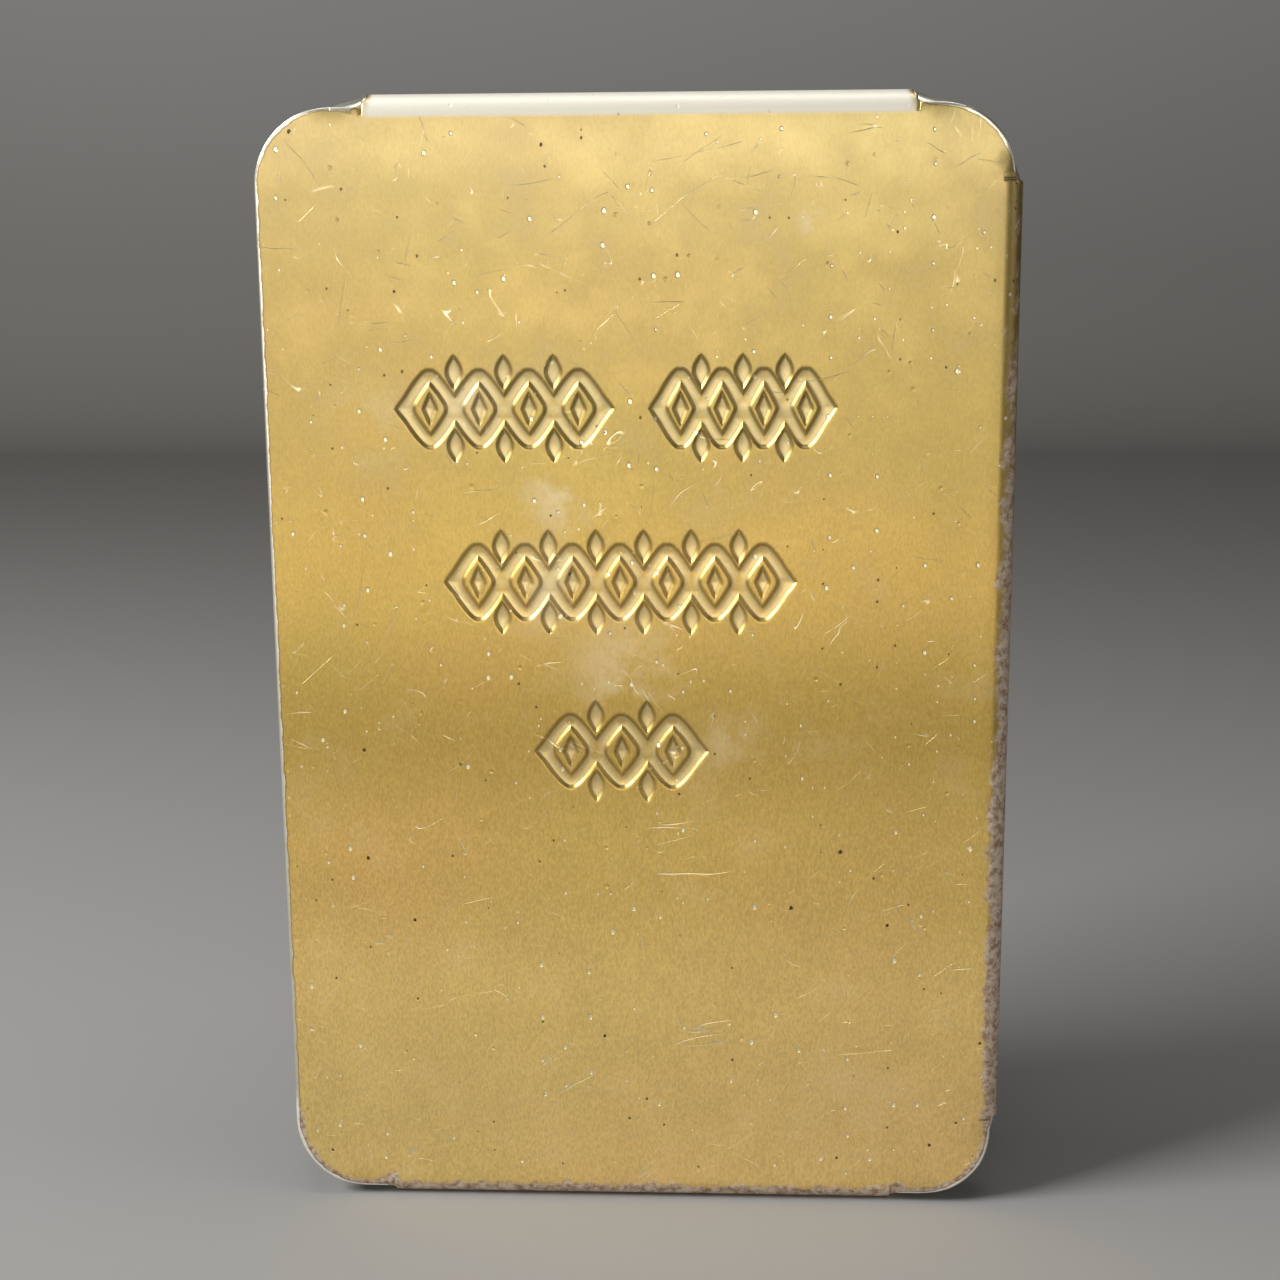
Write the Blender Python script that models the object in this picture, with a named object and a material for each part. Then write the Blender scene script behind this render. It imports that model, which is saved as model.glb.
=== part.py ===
"""Pocket prayer book whose front cover is clasped by a gilt steel shield plate.

The closed book stands upright on its tail edges: +Z is up, the shield plate faces -Y, the spine is
at -X and the fore-edge at +X. The origin is on the base, below the middle of the whole book. Every
length in the tables below is in millimetres and becomes metres where the meshes are made.
"""

import math

import bmesh
import bpy
from mathutils import Matrix, Vector

MM = 0.001

# Whole book
PLATE_WIDTH = 70.0
BOOK_WIDTH = 71.0  # from the crown of the rounded spine to the plate's fore-edge
PLATE_RIGHT = BOOK_WIDTH / 2
PLATE_LEFT = PLATE_RIGHT - PLATE_WIDTH
HEIGHT = 108.0
FRONT = -8.5
BACK = 8.5
GAP = 0.2  # between pieces that are glued or clasped together
SWING_GAP = 0.3  # between pieces that move past each other

# Shield plate: a flat sheet with three tabs bent backwards round the front board
SHEET = 0.8
BEND_RADIUS = 1.8
BEND_STEPS = 5
TAB_DEPTH = 1.2  # straight stretch of a tab between its two bends
LIP_LENGTH = 3.2
CORNER_RADIUS = 7.3
HEAD_STEP = 1.0  # how far a tab stands proud of the cut edge beside it
SIDE_STEP = 0.6
TAIL_STEP = 0.75
HEAD_TAB = (PLATE_LEFT + 10.1, PLATE_LEFT + 60.3)
SIDE_TAB = (9.0, 100.0)
TAIL_TAB = (PLATE_LEFT + 9.7, PLATE_LEFT + 59.5)
RELIEF = 0.5  # width of the slot beside each end of a tab
LIP_CHAMFER = 1.0

# Stamped ornament: rows of lozenges, each (height of the row's middle, how many, pitch), a little
# left of the plate's middle
ORNAMENT_DEPTH = 0.25
ORNAMENT_MIDDLE = PLATE_LEFT + 33.0
LOZENGE_HALF_WIDTH = 1.5
LOZENGE_HALF_HEIGHT = 3.2
ORNAMENT_ROWS = ((79.5, 9, 4.7), (63.1, 7, 4.7), (46.6, 3, 4.7))

# Covers
LEATHERETTE = 0.45
FRONT_BOARD = 1.5
BACK_BOARD = 1.3
TURN_IN = 8.0
SPINE_TURN_IN = 4.0
COVER_SPINE_EDGE = PLATE_LEFT + 0.9
COVER_FORE_EDGE = PLATE_RIGHT - 1.0
FRONT_COVER_TAIL = 1.0
FRONT_COVER_HEAD = 107.0
BACK_COVER_TAIL = 0.0
BACK_COVER_HEAD = 107.0
COVER_CORNER = 7.2
COVER_EDGE_ROUND = 0.6
PASTEDOWN = 0.25

# Text block
GATHERINGS = 8
LEAF_TAIL = 3.0
LEAF_HEAD = 105.0
LEAF_FORE_EDGE = PLATE_RIGHT - 3.8
LEAF_CORNER = 5.0
FREE_LEAF = 0.25
FOLD = PLATE_LEFT + 3.15  # the folds at the shoulders of the rounded spine
ROUNDING = 1.0  # how far the middle of the spine bulges past its shoulders
BETWEEN_GATHERINGS = 0.12

# Spine: distances outward from the folds
TAPE = (0.2, 0.5)
KETTLE = (0.2, 0.7)
MULL = (0.9, 1.15)
LINING = (1.35, 1.6)
INLAY = (2.0, 2.5)
TAPE_HEIGHT = 6.0
TAPE_TAILS = (33.0, 69.0)
KETTLE_HEIGHT = 0.7
KETTLE_TAILS = (11.0, 96.5)
BAND_RADIUS = 0.5
SPINE_TAIL = 5.5
SPINE_HEAD = 102.0
SPINE_ENDS = (-6.9, 7.9)
SPINE_BULGE = 1.15

# Layers from front to back, each (front face, back face)
PLATE = (FRONT, FRONT + SHEET)
FRONT_SKIN = (PLATE[1] + GAP, PLATE[1] + GAP + LEATHERETTE)
FRONT_CARD = (FRONT_SKIN[1] + GAP, FRONT_SKIN[1] + GAP + FRONT_BOARD)
FRONT_TURN_IN = (FRONT_CARD[1] + GAP, FRONT_CARD[1] + GAP + LEATHERETTE)
LIP_BACK = FRONT_TURN_IN[1] + GAP + SHEET
FLYLEAF = (LIP_BACK + SWING_GAP, LIP_BACK + SWING_GAP + FREE_LEAF)
PRESENTATION_LEAF = (FLYLEAF[1] + SWING_GAP, FLYLEAF[1] + SWING_GAP + FREE_LEAF)
BACK_SKIN = (BACK - LEATHERETTE, BACK)
BACK_CARD = (BACK_SKIN[0] - GAP - BACK_BOARD, BACK_SKIN[0] - GAP)
BACK_TURN_IN = (BACK_CARD[0] - GAP - LEATHERETTE, BACK_CARD[0] - GAP)
BACK_FLYLEAF = (BACK_TURN_IN[0] - SWING_GAP - FREE_LEAF, BACK_TURN_IN[0] - SWING_GAP)
TEXT = (PRESENTATION_LEAF[1] + SWING_GAP, BACK_FLYLEAF[0] - SWING_GAP)

# Joint axes, each (x, y), all parallel to Z
FRONT_JOINT = (PLATE_LEFT, (FRONT_SKIN[0] + FRONT_SKIN[1]) / 2)
BACK_JOINT = (PLATE_LEFT, (BACK_SKIN[0] + BACK_SKIN[1]) / 2)
LEAF_ROOT = FOLD + 0.3
FLYLEAF_ROOT = (LEAF_ROOT, sum(FLYLEAF) / 2)
PRESENTATION_ROOT = (LEAF_ROOT, sum(PRESENTATION_LEAF) / 2)
BACK_FLYLEAF_ROOT = (LEAF_ROOT, sum(BACK_FLYLEAF) / 2)


def clear_scene():
    for obj in list(bpy.data.objects):
        bpy.data.objects.remove(obj)


def finish(name, colour, roughness, metallic=0.0):
    material = bpy.data.materials.new(name)
    material.use_nodes = True
    shader = material.node_tree.nodes["Principled BSDF"]
    shader.inputs["Base Color"].default_value = (*colour, 1.0)
    shader.inputs["Roughness"].default_value = roughness
    shader.inputs["Metallic"].default_value = metallic
    return material


def add_object(name, bm, material, pivot=None):
    """The bmesh, in millimetres, as an object in metres whose parent is the pivot empty, if it has one."""
    bmesh.ops.scale(bm, vec=(MM, MM, MM), verts=bm.verts)
    bmesh.ops.recalc_face_normals(bm, faces=bm.faces)
    mesh = bpy.data.meshes.new(name)
    bm.to_mesh(mesh)
    bm.free()
    mesh.materials.append(material)
    obj = bpy.data.objects.new(name, mesh)
    bpy.context.collection.objects.link(obj)
    if pivot:
        obj.parent = pivot
        obj.matrix_parent_inverse = Matrix.Translation(-pivot.location)
    return obj


def add_pivot(name, axis):
    """An empty on a vertical joint axis, at the height of the base."""
    empty = bpy.data.objects.new(name, None)
    empty.location = (axis[0] * MM, axis[1] * MM, 0.0)
    bpy.context.collection.objects.link(empty)
    return empty


def smooth(obj):
    obj.data.shade_smooth()
    obj.data.set_sharp_from_angle(angle=math.radians(35))


def add_bevel(obj, width, segments=2):
    bevel = obj.modifiers.new("rounded edges", "BEVEL")
    bevel.width = width * MM
    bevel.segments = segments
    bevel.limit_method = "ANGLE"
    bevel.angle_limit = math.radians(60)


def cut(obj, cutter):
    cutter.hide_render = True
    cutter.display_type = "WIRE"
    boolean = obj.modifiers.new("cut by " + cutter.name, "BOOLEAN")
    boolean.operation = "DIFFERENCE"
    boolean.object = cutter


def arc(centre_x, centre_z, radius, start, stop, steps=6):
    """Points of a circular arc in the XZ plane, angles in degrees."""
    points = []
    for step in range(steps + 1):
        angle = math.radians(start + (stop - start) * step / steps)
        points.append((centre_x + radius * math.cos(angle), centre_z + radius * math.sin(angle)))
    return points


def round_cornered(left, right, tail, head, fore_radius, spine_radius):
    """Outline of a rectangle, anticlockwise seen from the front, with its own radius on each side."""
    outline = []
    corners = (
        (right, head, fore_radius, 0),
        (left, head, spine_radius, 90),
        (left, tail, spine_radius, 180),
        (right, tail, fore_radius, 270),
    )
    for x, z, radius, start in corners:
        if radius == 0:
            outline.append((x, z))
            continue
        centre_x = x - math.copysign(radius, x - (left + right) / 2)
        centre_z = z - math.copysign(radius, z - (tail + head) / 2)
        outline += arc(centre_x, centre_z, radius, start, start + 90)
    return outline


def slab(outline, front, back):
    """A flat piece: an XZ outline carried from one depth to another."""
    bm = bmesh.new()
    face = bm.faces.new([bm.verts.new((x, front, z)) for x, z in outline])
    grown = bmesh.ops.extrude_face_region(bm, geom=[face])["geom"]
    moved = [item for item in grown if isinstance(item, bmesh.types.BMVert)]
    bmesh.ops.translate(bm, vec=(0, back - front, 0), verts=moved)
    return bm


# --- shield plate ---------------------------------------------------------------------------------

QUARTER = BEND_RADIUS * math.pi / 2
TAB_RUN = 2 * QUARTER + TAB_DEPTH + LIP_LENGTH
FOLD_SIDE = PLATE_RIGHT - BEND_RADIUS
FOLD_HEAD = HEIGHT - BEND_RADIUS
FOLD_TAIL = BEND_RADIUS


def bend_lines():
    """Distances from the fold line at which a tab needs a cross line, and the far end of each."""
    first = [QUARTER * step / BEND_STEPS for step in range(BEND_STEPS + 1)]
    return first + [QUARTER + TAB_DEPTH + distance for distance in first]


def tab_profile(distance):
    """(outward, depth, angle) of the outer face of a tab, this far past its fold line.

    The angle is how far the sheet has turned there: 0 on the flat, 90 on the tab's straight stretch
    and 180 degrees on its lip.
    """
    if distance <= QUARTER:
        angle = distance / BEND_RADIUS
        return BEND_RADIUS * math.sin(angle), BEND_RADIUS * (1 - math.cos(angle)), angle
    distance -= QUARTER
    if distance <= TAB_DEPTH:
        return BEND_RADIUS, BEND_RADIUS + distance, math.pi / 2
    distance -= TAB_DEPTH
    depth = BEND_RADIUS + TAB_DEPTH
    if distance <= QUARTER:
        angle = math.pi / 2 + distance / BEND_RADIUS
        return BEND_RADIUS * math.sin(angle), depth - BEND_RADIUS * math.cos(angle), angle
    return -(distance - QUARTER), depth + BEND_RADIUS, math.pi


def blank_outline():
    """The plate before bending, anticlockwise seen from the front."""
    side = PLATE_RIGHT - SIDE_STEP
    head = HEIGHT - HEAD_STEP
    tail = TAIL_STEP
    radius = CORNER_RADIUS
    side_end = FOLD_SIDE + TAB_RUN
    head_end = FOLD_HEAD + TAB_RUN
    tail_end = FOLD_TAIL - TAB_RUN
    outline = arc(side - radius, head - radius, radius, 0, 90)
    outline += [(HEAD_TAB[1] + RELIEF, head), (HEAD_TAB[1] + RELIEF, FOLD_HEAD), (HEAD_TAB[1], FOLD_HEAD)]
    outline += [(HEAD_TAB[1], head_end - LIP_CHAMFER), (HEAD_TAB[1] - LIP_CHAMFER, head_end)]
    outline += [(HEAD_TAB[0] + LIP_CHAMFER, head_end), (HEAD_TAB[0], head_end - LIP_CHAMFER)]
    outline += [(HEAD_TAB[0], FOLD_HEAD), (HEAD_TAB[0] - RELIEF, FOLD_HEAD), (HEAD_TAB[0] - RELIEF, head)]
    outline += arc(PLATE_LEFT + radius, head - radius, radius, 90, 180)
    outline += arc(PLATE_LEFT + radius, tail + radius, radius, 180, 270)
    outline += [(TAIL_TAB[0] - RELIEF, tail), (TAIL_TAB[0] - RELIEF, FOLD_TAIL), (TAIL_TAB[0], FOLD_TAIL)]
    outline += [(TAIL_TAB[0], tail_end + LIP_CHAMFER), (TAIL_TAB[0] + LIP_CHAMFER, tail_end)]
    outline += [(TAIL_TAB[1] - LIP_CHAMFER, tail_end), (TAIL_TAB[1], tail_end + LIP_CHAMFER)]
    outline += [(TAIL_TAB[1], FOLD_TAIL), (TAIL_TAB[1] + RELIEF, FOLD_TAIL), (TAIL_TAB[1] + RELIEF, tail)]
    outline += arc(side - radius, tail + radius, radius, 270, 360)
    outline += [(side, SIDE_TAB[0] - RELIEF), (FOLD_SIDE, SIDE_TAB[0] - RELIEF), (FOLD_SIDE, SIDE_TAB[0])]
    outline += [(side_end - LIP_CHAMFER, SIDE_TAB[0]), (side_end, SIDE_TAB[0] + LIP_CHAMFER)]
    outline += [(side_end, SIDE_TAB[1] - LIP_CHAMFER), (side_end - LIP_CHAMFER, SIDE_TAB[1])]
    outline += [(FOLD_SIDE, SIDE_TAB[1]), (FOLD_SIDE, SIDE_TAB[1] + RELIEF), (side, SIDE_TAB[1] + RELIEF)]
    return outline


def within(value, span):
    slack = 1e-4
    return span[0] - slack <= value <= span[1] + slack


def folded(x, z):
    """Outer and inner point of the sheet for a point of the flat blank."""
    if x > FOLD_SIDE and within(z, SIDE_TAB):
        out, depth, angle = tab_profile(x - FOLD_SIDE)
        point = Vector((FOLD_SIDE + out, FRONT + depth, z))
        inward = Vector((-math.sin(angle), math.cos(angle), 0))
    elif z > FOLD_HEAD and within(x, HEAD_TAB):
        out, depth, angle = tab_profile(z - FOLD_HEAD)
        point = Vector((x, FRONT + depth, FOLD_HEAD + out))
        inward = Vector((0, math.cos(angle), -math.sin(angle)))
    elif z < FOLD_TAIL and within(x, TAIL_TAB):
        out, depth, angle = tab_profile(FOLD_TAIL - z)
        point = Vector((x, FRONT + depth, FOLD_TAIL - out))
        inward = Vector((0, math.cos(angle), math.sin(angle)))
    else:
        point = Vector((x, FRONT, z))
        inward = Vector((0, 1, 0))
    return point, point + inward * SHEET


def cross_line(bm, place, direction):
    geometry = bm.verts[:] + bm.edges[:] + bm.faces[:]
    bmesh.ops.bisect_plane(bm, geom=geometry, dist=1e-5, plane_co=place, plane_no=direction)


def shield_plate_mesh():
    """The blank, cut across at every bend line, folded, and given its thickness."""
    bm = bmesh.new()
    bm.faces.new([bm.verts.new((x, 0, z)) for x, z in blank_outline()])
    for distance in bend_lines():
        cross_line(bm, (FOLD_SIDE + distance, 0, 0), (1, 0, 0))
        cross_line(bm, (0, 0, FOLD_HEAD + distance), (0, 0, 1))
        cross_line(bm, (0, 0, FOLD_TAIL - distance), (0, 0, 1))
    outer_faces = bm.faces[:]
    rim = [edge for edge in bm.edges if edge.is_boundary]
    inner = {}
    for vert in bm.verts[:]:
        outer_point, inner_point = folded(vert.co.x, vert.co.z)
        vert.co = outer_point
        inner[vert] = bm.verts.new(inner_point)
    for face in outer_faces:
        bm.faces.new([inner[vert] for vert in reversed(face.verts)])
    for edge in rim:
        first, second = edge.verts
        bm.faces.new((first, second, inner[second], inner[first]))
    return bm


def ornament_cutter():
    """All the stamped lozenges as prisms that reach into the front face."""
    bm = bmesh.new()
    for middle, count, pitch in ORNAMENT_ROWS:
        for number in range(count):
            x = ORNAMENT_MIDDLE + (number - (count - 1) / 2) * pitch
            corners = (
                (x + LOZENGE_HALF_WIDTH, middle),
                (x, middle + LOZENGE_HALF_HEIGHT),
                (x - LOZENGE_HALF_WIDTH, middle),
                (x, middle - LOZENGE_HALF_HEIGHT),
            )
            face = bm.faces.new([bm.verts.new((cx, FRONT - 1.0, cz)) for cx, cz in corners])
            grown = bmesh.ops.extrude_face_region(bm, geom=[face])["geom"]
            moved = [item for item in grown if isinstance(item, bmesh.types.BMVert)]
            bmesh.ops.translate(bm, vec=(0, 1.0 + ORNAMENT_DEPTH, 0), verts=moved)
    return bm


def make_shield_plate(pivot, material):
    plate = add_object("shield_plate", shield_plate_mesh(), material, pivot)
    cutter = add_object("ornament_stamp", ornament_cutter(), material, pivot)
    cut(plate, cutter)
    smooth(plate)


# --- covers ---------------------------------------------------------------------------------------


def make_cover(side, skin, card, turn_in, tail, head, pivot, materials):
    """Board, wrapped covering and pastedown of one cover. The turn-ins are on the skin's far side."""
    outer = skin[0] if side == "front" else skin[1]
    inner = turn_in[1] if side == "front" else turn_in[0]
    left, right = COVER_SPINE_EDGE, COVER_FORE_EDGE
    wrap = round_cornered(left, right, tail, head, COVER_CORNER, COVER_CORNER)
    covering = add_object(side + "_covering", slab(wrap, outer, inner), materials["leatherette"], pivot)
    add_bevel(covering, COVER_EDGE_ROUND)

    wall = LEATHERETTE
    pocket_outline = round_cornered(
        left + wall, right - wall, tail + wall, head - wall, COVER_CORNER - wall, COVER_CORNER - wall
    )
    pocket = slab(pocket_outline, card[0] - GAP, card[1] + GAP)
    cut(covering, add_object(side + "_board_pocket", pocket, materials["leatherette"], pivot))

    window_left, window_right = left + SPINE_TURN_IN, right - TURN_IN
    window_tail, window_head = tail + TURN_IN, head - TURN_IN
    middle = sum(card) / 2
    beyond = inner + math.copysign(1.0, inner - outer)
    window_outline = round_cornered(window_left, window_right, window_tail, window_head, 0, 0)
    window = slab(window_outline, middle, beyond)
    cut(covering, add_object(side + "_turn_in_window", window, materials["leatherette"], pivot))

    inset = wall + GAP
    board_outline = round_cornered(
        left + inset, right - inset, tail + inset, head - inset, COVER_CORNER - inset, COVER_CORNER - inset
    )
    add_object(side + "_board", slab(board_outline, *card), materials["board"], pivot)

    paper_outline = round_cornered(
        window_left + GAP, window_right - GAP, window_tail + GAP, window_head - GAP, 0, 0
    )
    near = turn_in[0] if side == "front" else turn_in[1]
    far = near + math.copysign(PASTEDOWN, inner - outer)
    add_object(side + "_pastedown", slab(paper_outline, near, far), materials["endpaper"], pivot)


# --- leaves and text block ------------------------------------------------------------------------


def rounding_at(y):
    """How far the rounded spine bulges at this depth, and the fore-edge draws in."""
    middle = sum(TEXT) / 2
    half = (TEXT[1] - TEXT[0]) / 2
    return ROUNDING * (1 - min(1.0, abs(y - middle) / half) ** 2)


def make_leaf(name, depth, pivot, material):
    outline = round_cornered(LEAF_ROOT + 0.2, LEAF_FORE_EDGE, LEAF_TAIL, LEAF_HEAD, LEAF_CORNER, 0)
    add_object(name, slab(outline, *depth), material, pivot)


def make_gatherings(material):
    """Each gathering is a stack of folded sheets: its folds are round, its fore-edge corners too."""
    pitch = (TEXT[1] - TEXT[0] + BETWEEN_GATHERINGS) / GATHERINGS
    thickness = pitch - BETWEEN_GATHERINGS
    for number in range(GATHERINGS):
        front = TEXT[0] + number * pitch
        shift = rounding_at(front + thickness / 2)
        fold = FOLD - shift
        outline = round_cornered(fold, LEAF_FORE_EDGE - shift, LEAF_TAIL, LEAF_HEAD, LEAF_CORNER, 0)
        bm = slab(outline, front, front + thickness)
        folds = [edge for edge in bm.edges if all(abs(vert.co.x - fold) < 1e-4 for vert in edge.verts)]
        long_folds = [edge for edge in folds if edge.calc_length() > thickness * 2]
        bmesh.ops.bevel(bm, geom=long_folds, offset=thickness * 0.45, segments=3, affect="EDGES", profile=0.5)
        smooth(add_object(f"gathering_{number + 1:02d}", bm, material))


# --- spine ----------------------------------------------------------------------------------------


def curved_strip(path_inner, path_outer, tail, head):
    """A strip with an XY cross-section between two paths, carried from tail to head."""
    bm = bmesh.new()
    section = path_inner + path_outer[::-1]
    face = bm.faces.new([bm.verts.new((x, y, tail)) for x, y in section])
    grown = bmesh.ops.extrude_face_region(bm, geom=[face])["geom"]
    moved = [item for item in grown if isinstance(item, bmesh.types.BMVert)]
    bmesh.ops.translate(bm, vec=(0, 0, head - tail), verts=moved)
    return bm


def along_text(steps=10):
    return [TEXT[0] + (TEXT[1] - TEXT[0]) * step / steps for step in range(steps + 1)]


def layer_on_folds(distances, tail, head):
    """A strip that follows the rounded folds at these two distances outside them."""
    paths = []
    for distance in distances:
        paths.append([(FOLD - rounding_at(y) - distance, y) for y in along_text()])
    return curved_strip(*paths, tail, head)


def band(height):
    """A round cord across the end of the text block, along the folds."""
    bm = bmesh.new()
    sides = 8
    rings = []
    for y in along_text():
        x = FOLD - rounding_at(y) + BAND_RADIUS
        ring = []
        for side in range(sides):
            angle = 2 * math.pi * side / sides
            out, up = BAND_RADIUS * math.cos(angle), BAND_RADIUS * math.sin(angle)
            ring.append(bm.verts.new((x + out, y, height + up)))
        rings.append(ring)
    for ring, following in zip(rings, rings[1:]):
        for side in range(sides):
            after = (side + 1) % sides
            bm.faces.new((ring[side], ring[after], following[after], following[side]))
    bm.faces.new(rings[0])
    bm.faces.new(rings[-1][::-1])
    return bm


def spine_covering_mesh():
    """The spine's leatherette: a shallow arc from the front joint to the back joint."""
    start, stop = SPINE_ENDS
    middle, half = (start + stop) / 2, (stop - start) / 2
    steps = 14
    inner, outer = [], []
    for step in range(steps + 1):
        y = start + (stop - start) * step / steps
        x = FOLD - ROUNDING - INLAY[1] - GAP + SPINE_BULGE * ((y - middle) / half) ** 2
        inner.append((x, y))
        outer.append((x - LEATHERETTE, y))
    return curved_strip(inner, outer, SPINE_TAIL, SPINE_HEAD)


def make_spine(materials):
    for name, tail in zip(("lower", "upper"), TAPE_TAILS):
        tape = layer_on_folds(TAPE, tail, tail + TAPE_HEIGHT)
        smooth(add_object("sewing_tape_" + name, tape, materials["linen"]))
    for name, tail in zip(("tail", "head"), KETTLE_TAILS):
        stitch = layer_on_folds(KETTLE, tail, tail + KETTLE_HEIGHT)
        smooth(add_object("kettle_stitch_" + name, stitch, materials["linen"]))
    smooth(add_object("mull", layer_on_folds(MULL, 8.0, 100.0), materials["linen"]))
    smooth(add_object("spine_lining", layer_on_folds(LINING, 6.0, 102.0), materials["endpaper"]))
    smooth(add_object("spine_inlay", layer_on_folds(INLAY, 5.0, 102.0), materials["board"]))
    reach = GAP + BAND_RADIUS
    smooth(add_object("headband", band(LEAF_HEAD + reach), materials["linen"]))
    smooth(add_object("tailband", band(LEAF_TAIL - reach), materials["linen"]))
    smooth(add_object("spine_covering", spine_covering_mesh(), materials["leatherette"]))


def main():
    clear_scene()
    materials = {
        "gilt": finish("gilt lacquered steel", (0.62, 0.44, 0.17), 0.36, 1.0),
        "leatherette": finish("dark brown leatherette", (0.035, 0.022, 0.016), 0.55),
        "board": finish("grey binder's board", (0.32, 0.28, 0.22), 0.85),
        "endpaper": finish("cream endpaper", (0.78, 0.70, 0.54), 0.8),
        "text paper": finish("thin text paper", (0.83, 0.77, 0.62), 0.8),
        "linen": finish("unbleached linen", (0.66, 0.58, 0.44), 0.9),
    }
    front_hinge = add_pivot("front_joint_axis", FRONT_JOINT)
    back_hinge = add_pivot("back_joint_axis", BACK_JOINT)
    make_shield_plate(front_hinge, materials["gilt"])
    front_layers = (FRONT_SKIN, FRONT_CARD, FRONT_TURN_IN)
    make_cover("front", *front_layers, FRONT_COVER_TAIL, FRONT_COVER_HEAD, front_hinge, materials)
    back_layers = (BACK_SKIN, BACK_CARD, BACK_TURN_IN)
    make_cover("back", *back_layers, BACK_COVER_TAIL, BACK_COVER_HEAD, back_hinge, materials)
    leaves = (
        ("front_flyleaf", FLYLEAF, FLYLEAF_ROOT),
        ("presentation_leaf", PRESENTATION_LEAF, PRESENTATION_ROOT),
        ("back_flyleaf", BACK_FLYLEAF, BACK_FLYLEAF_ROOT),
    )
    for name, depth, root in leaves:
        make_leaf(name, depth, add_pivot(name + "_root", root), materials["endpaper"])
    make_gatherings(materials["text paper"])
    make_spine(materials)


main()
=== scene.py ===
# %% [markdown]
# # A pocket prayer book with a gilt steel shield plate
#
# The book stands closed on its tail edges. A stamped sheet-steel plate, lacquered gold, is clasped
# onto its front board by three bent tabs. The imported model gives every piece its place, so this
# script starts from that frame and makes the surfaces: the plate's stamped face, the grained
# leatherette, the paper edges and the thread. Lengths are in millimetres until a mesh is written.

# %% The fixed frame
import math
import random
from functools import partial

import bmesh
import bpy
import numpy as np
from mathutils import Matrix, Vector
from mathutils.geometry import delaunay_2d_cdt


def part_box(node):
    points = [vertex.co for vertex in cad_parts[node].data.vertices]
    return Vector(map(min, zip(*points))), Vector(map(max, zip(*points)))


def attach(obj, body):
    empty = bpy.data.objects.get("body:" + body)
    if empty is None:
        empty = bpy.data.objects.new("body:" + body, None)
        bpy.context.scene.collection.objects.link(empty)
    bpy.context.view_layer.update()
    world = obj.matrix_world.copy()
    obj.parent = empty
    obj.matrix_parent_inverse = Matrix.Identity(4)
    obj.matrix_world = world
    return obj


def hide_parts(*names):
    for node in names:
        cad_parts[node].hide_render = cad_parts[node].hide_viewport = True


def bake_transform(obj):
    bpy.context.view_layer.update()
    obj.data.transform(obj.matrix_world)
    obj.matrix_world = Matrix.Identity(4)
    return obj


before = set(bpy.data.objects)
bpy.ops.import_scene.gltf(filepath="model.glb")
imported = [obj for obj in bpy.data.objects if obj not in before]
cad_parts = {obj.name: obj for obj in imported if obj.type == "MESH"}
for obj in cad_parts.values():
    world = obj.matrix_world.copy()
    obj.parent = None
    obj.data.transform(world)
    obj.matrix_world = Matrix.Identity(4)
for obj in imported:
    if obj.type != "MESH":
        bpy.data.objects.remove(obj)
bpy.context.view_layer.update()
MM = 0.001


# %% [markdown]
# ## Small helpers
#
# Blender works in metres and in linear colour. A maker thinks in millimetres and picks colours from
# a chart, so two helpers translate: one reads a node's box in millimetres, and one turns an sRGB hex
# value to linear. A third adds a shader or geometry node with its settings and links in one call.


# %% Helpers for boxes, colours and nodes
def box_mm(node):
    """Lowest and highest corners of a frame node, in millimetres."""
    low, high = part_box(node)
    return [value / MM for value in low], [value / MM for value in high]


def linear(hex_code):
    """An sRGB hex colour as linear RGBA."""
    values = [int(hex_code[start : start + 2], 16) / 255 for start in (1, 3, 5)]
    return [v / 12.92 if v <= 0.04045 else ((v + 0.055) / 1.055) ** 2.4 for v in values] + [1.0]


# Settings that many nodes share
SMOOTHSTEP = {"interpolation_type": "SMOOTHSTEP"}
COLOUR = {"data_type": "RGBA"}
TIMES, PLUS, LARGER = ({"operation": name} for name in ("MULTIPLY", "ADD", "MAXIMUM"))


def add(tree, kind, inputs=(), **settings):
    """A new node; a kind without its family's name is a shader node. Its inputs are values, hex
    colours or sources, listed in the order of the sockets or given by the sockets' names."""
    node = tree.nodes.new(kind if "Node" in kind else "ShaderNode" + kind)
    for name, value in settings.items():
        setattr(node, name, value)
    inputs = inputs if isinstance(inputs, dict) else dict(enumerate(inputs))
    for key, value in inputs.items():
        named = [socket for socket in node.inputs if socket.enabled and socket.name == key]
        socket = named[0] if named else node.inputs[key]
        if isinstance(value, bpy.types.Node):
            value = next(output for output in value.outputs if output.enabled)
        if isinstance(value, bpy.types.NodeSocket):
            tree.links.new(value, socket)
        else:
            socket.default_value = linear(value) if isinstance(value, str) else value
    return node


def new_material(name):
    """A material, add for its own tree, its Principled shader, and its Object coordinates in mm."""
    material = bpy.data.materials.new(name)
    material.use_nodes = True
    put = partial(add, material.node_tree)
    place = put("TexCoord").outputs["Object"]
    in_mm = put("VectorMath", {0: place, "Scale": 1 / MM}, operation="SCALE")
    return material, put, material.node_tree.nodes["Principled BSDF"], in_mm


def connect(shader, **sources):
    """Joins each source to the shader's socket of that name, with _ for a space."""
    for name, source in sources.items():
        output = next(socket for socket in source.outputs if socket.enabled)
        shader.id_data.links.new(output, shader.inputs[name.replace("_", " ")])


def new_object(name, data):
    obj = bpy.data.objects.new(name, data)
    bpy.context.collection.objects.link(obj)
    return obj


def object_from(name, points, faces):
    """A mesh object from points in millimetres."""
    mesh = bpy.data.meshes.new(name)
    mesh.from_pydata([tuple(value * MM for value in point) for point in points], [], faces)
    return new_object(name, mesh)


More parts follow.
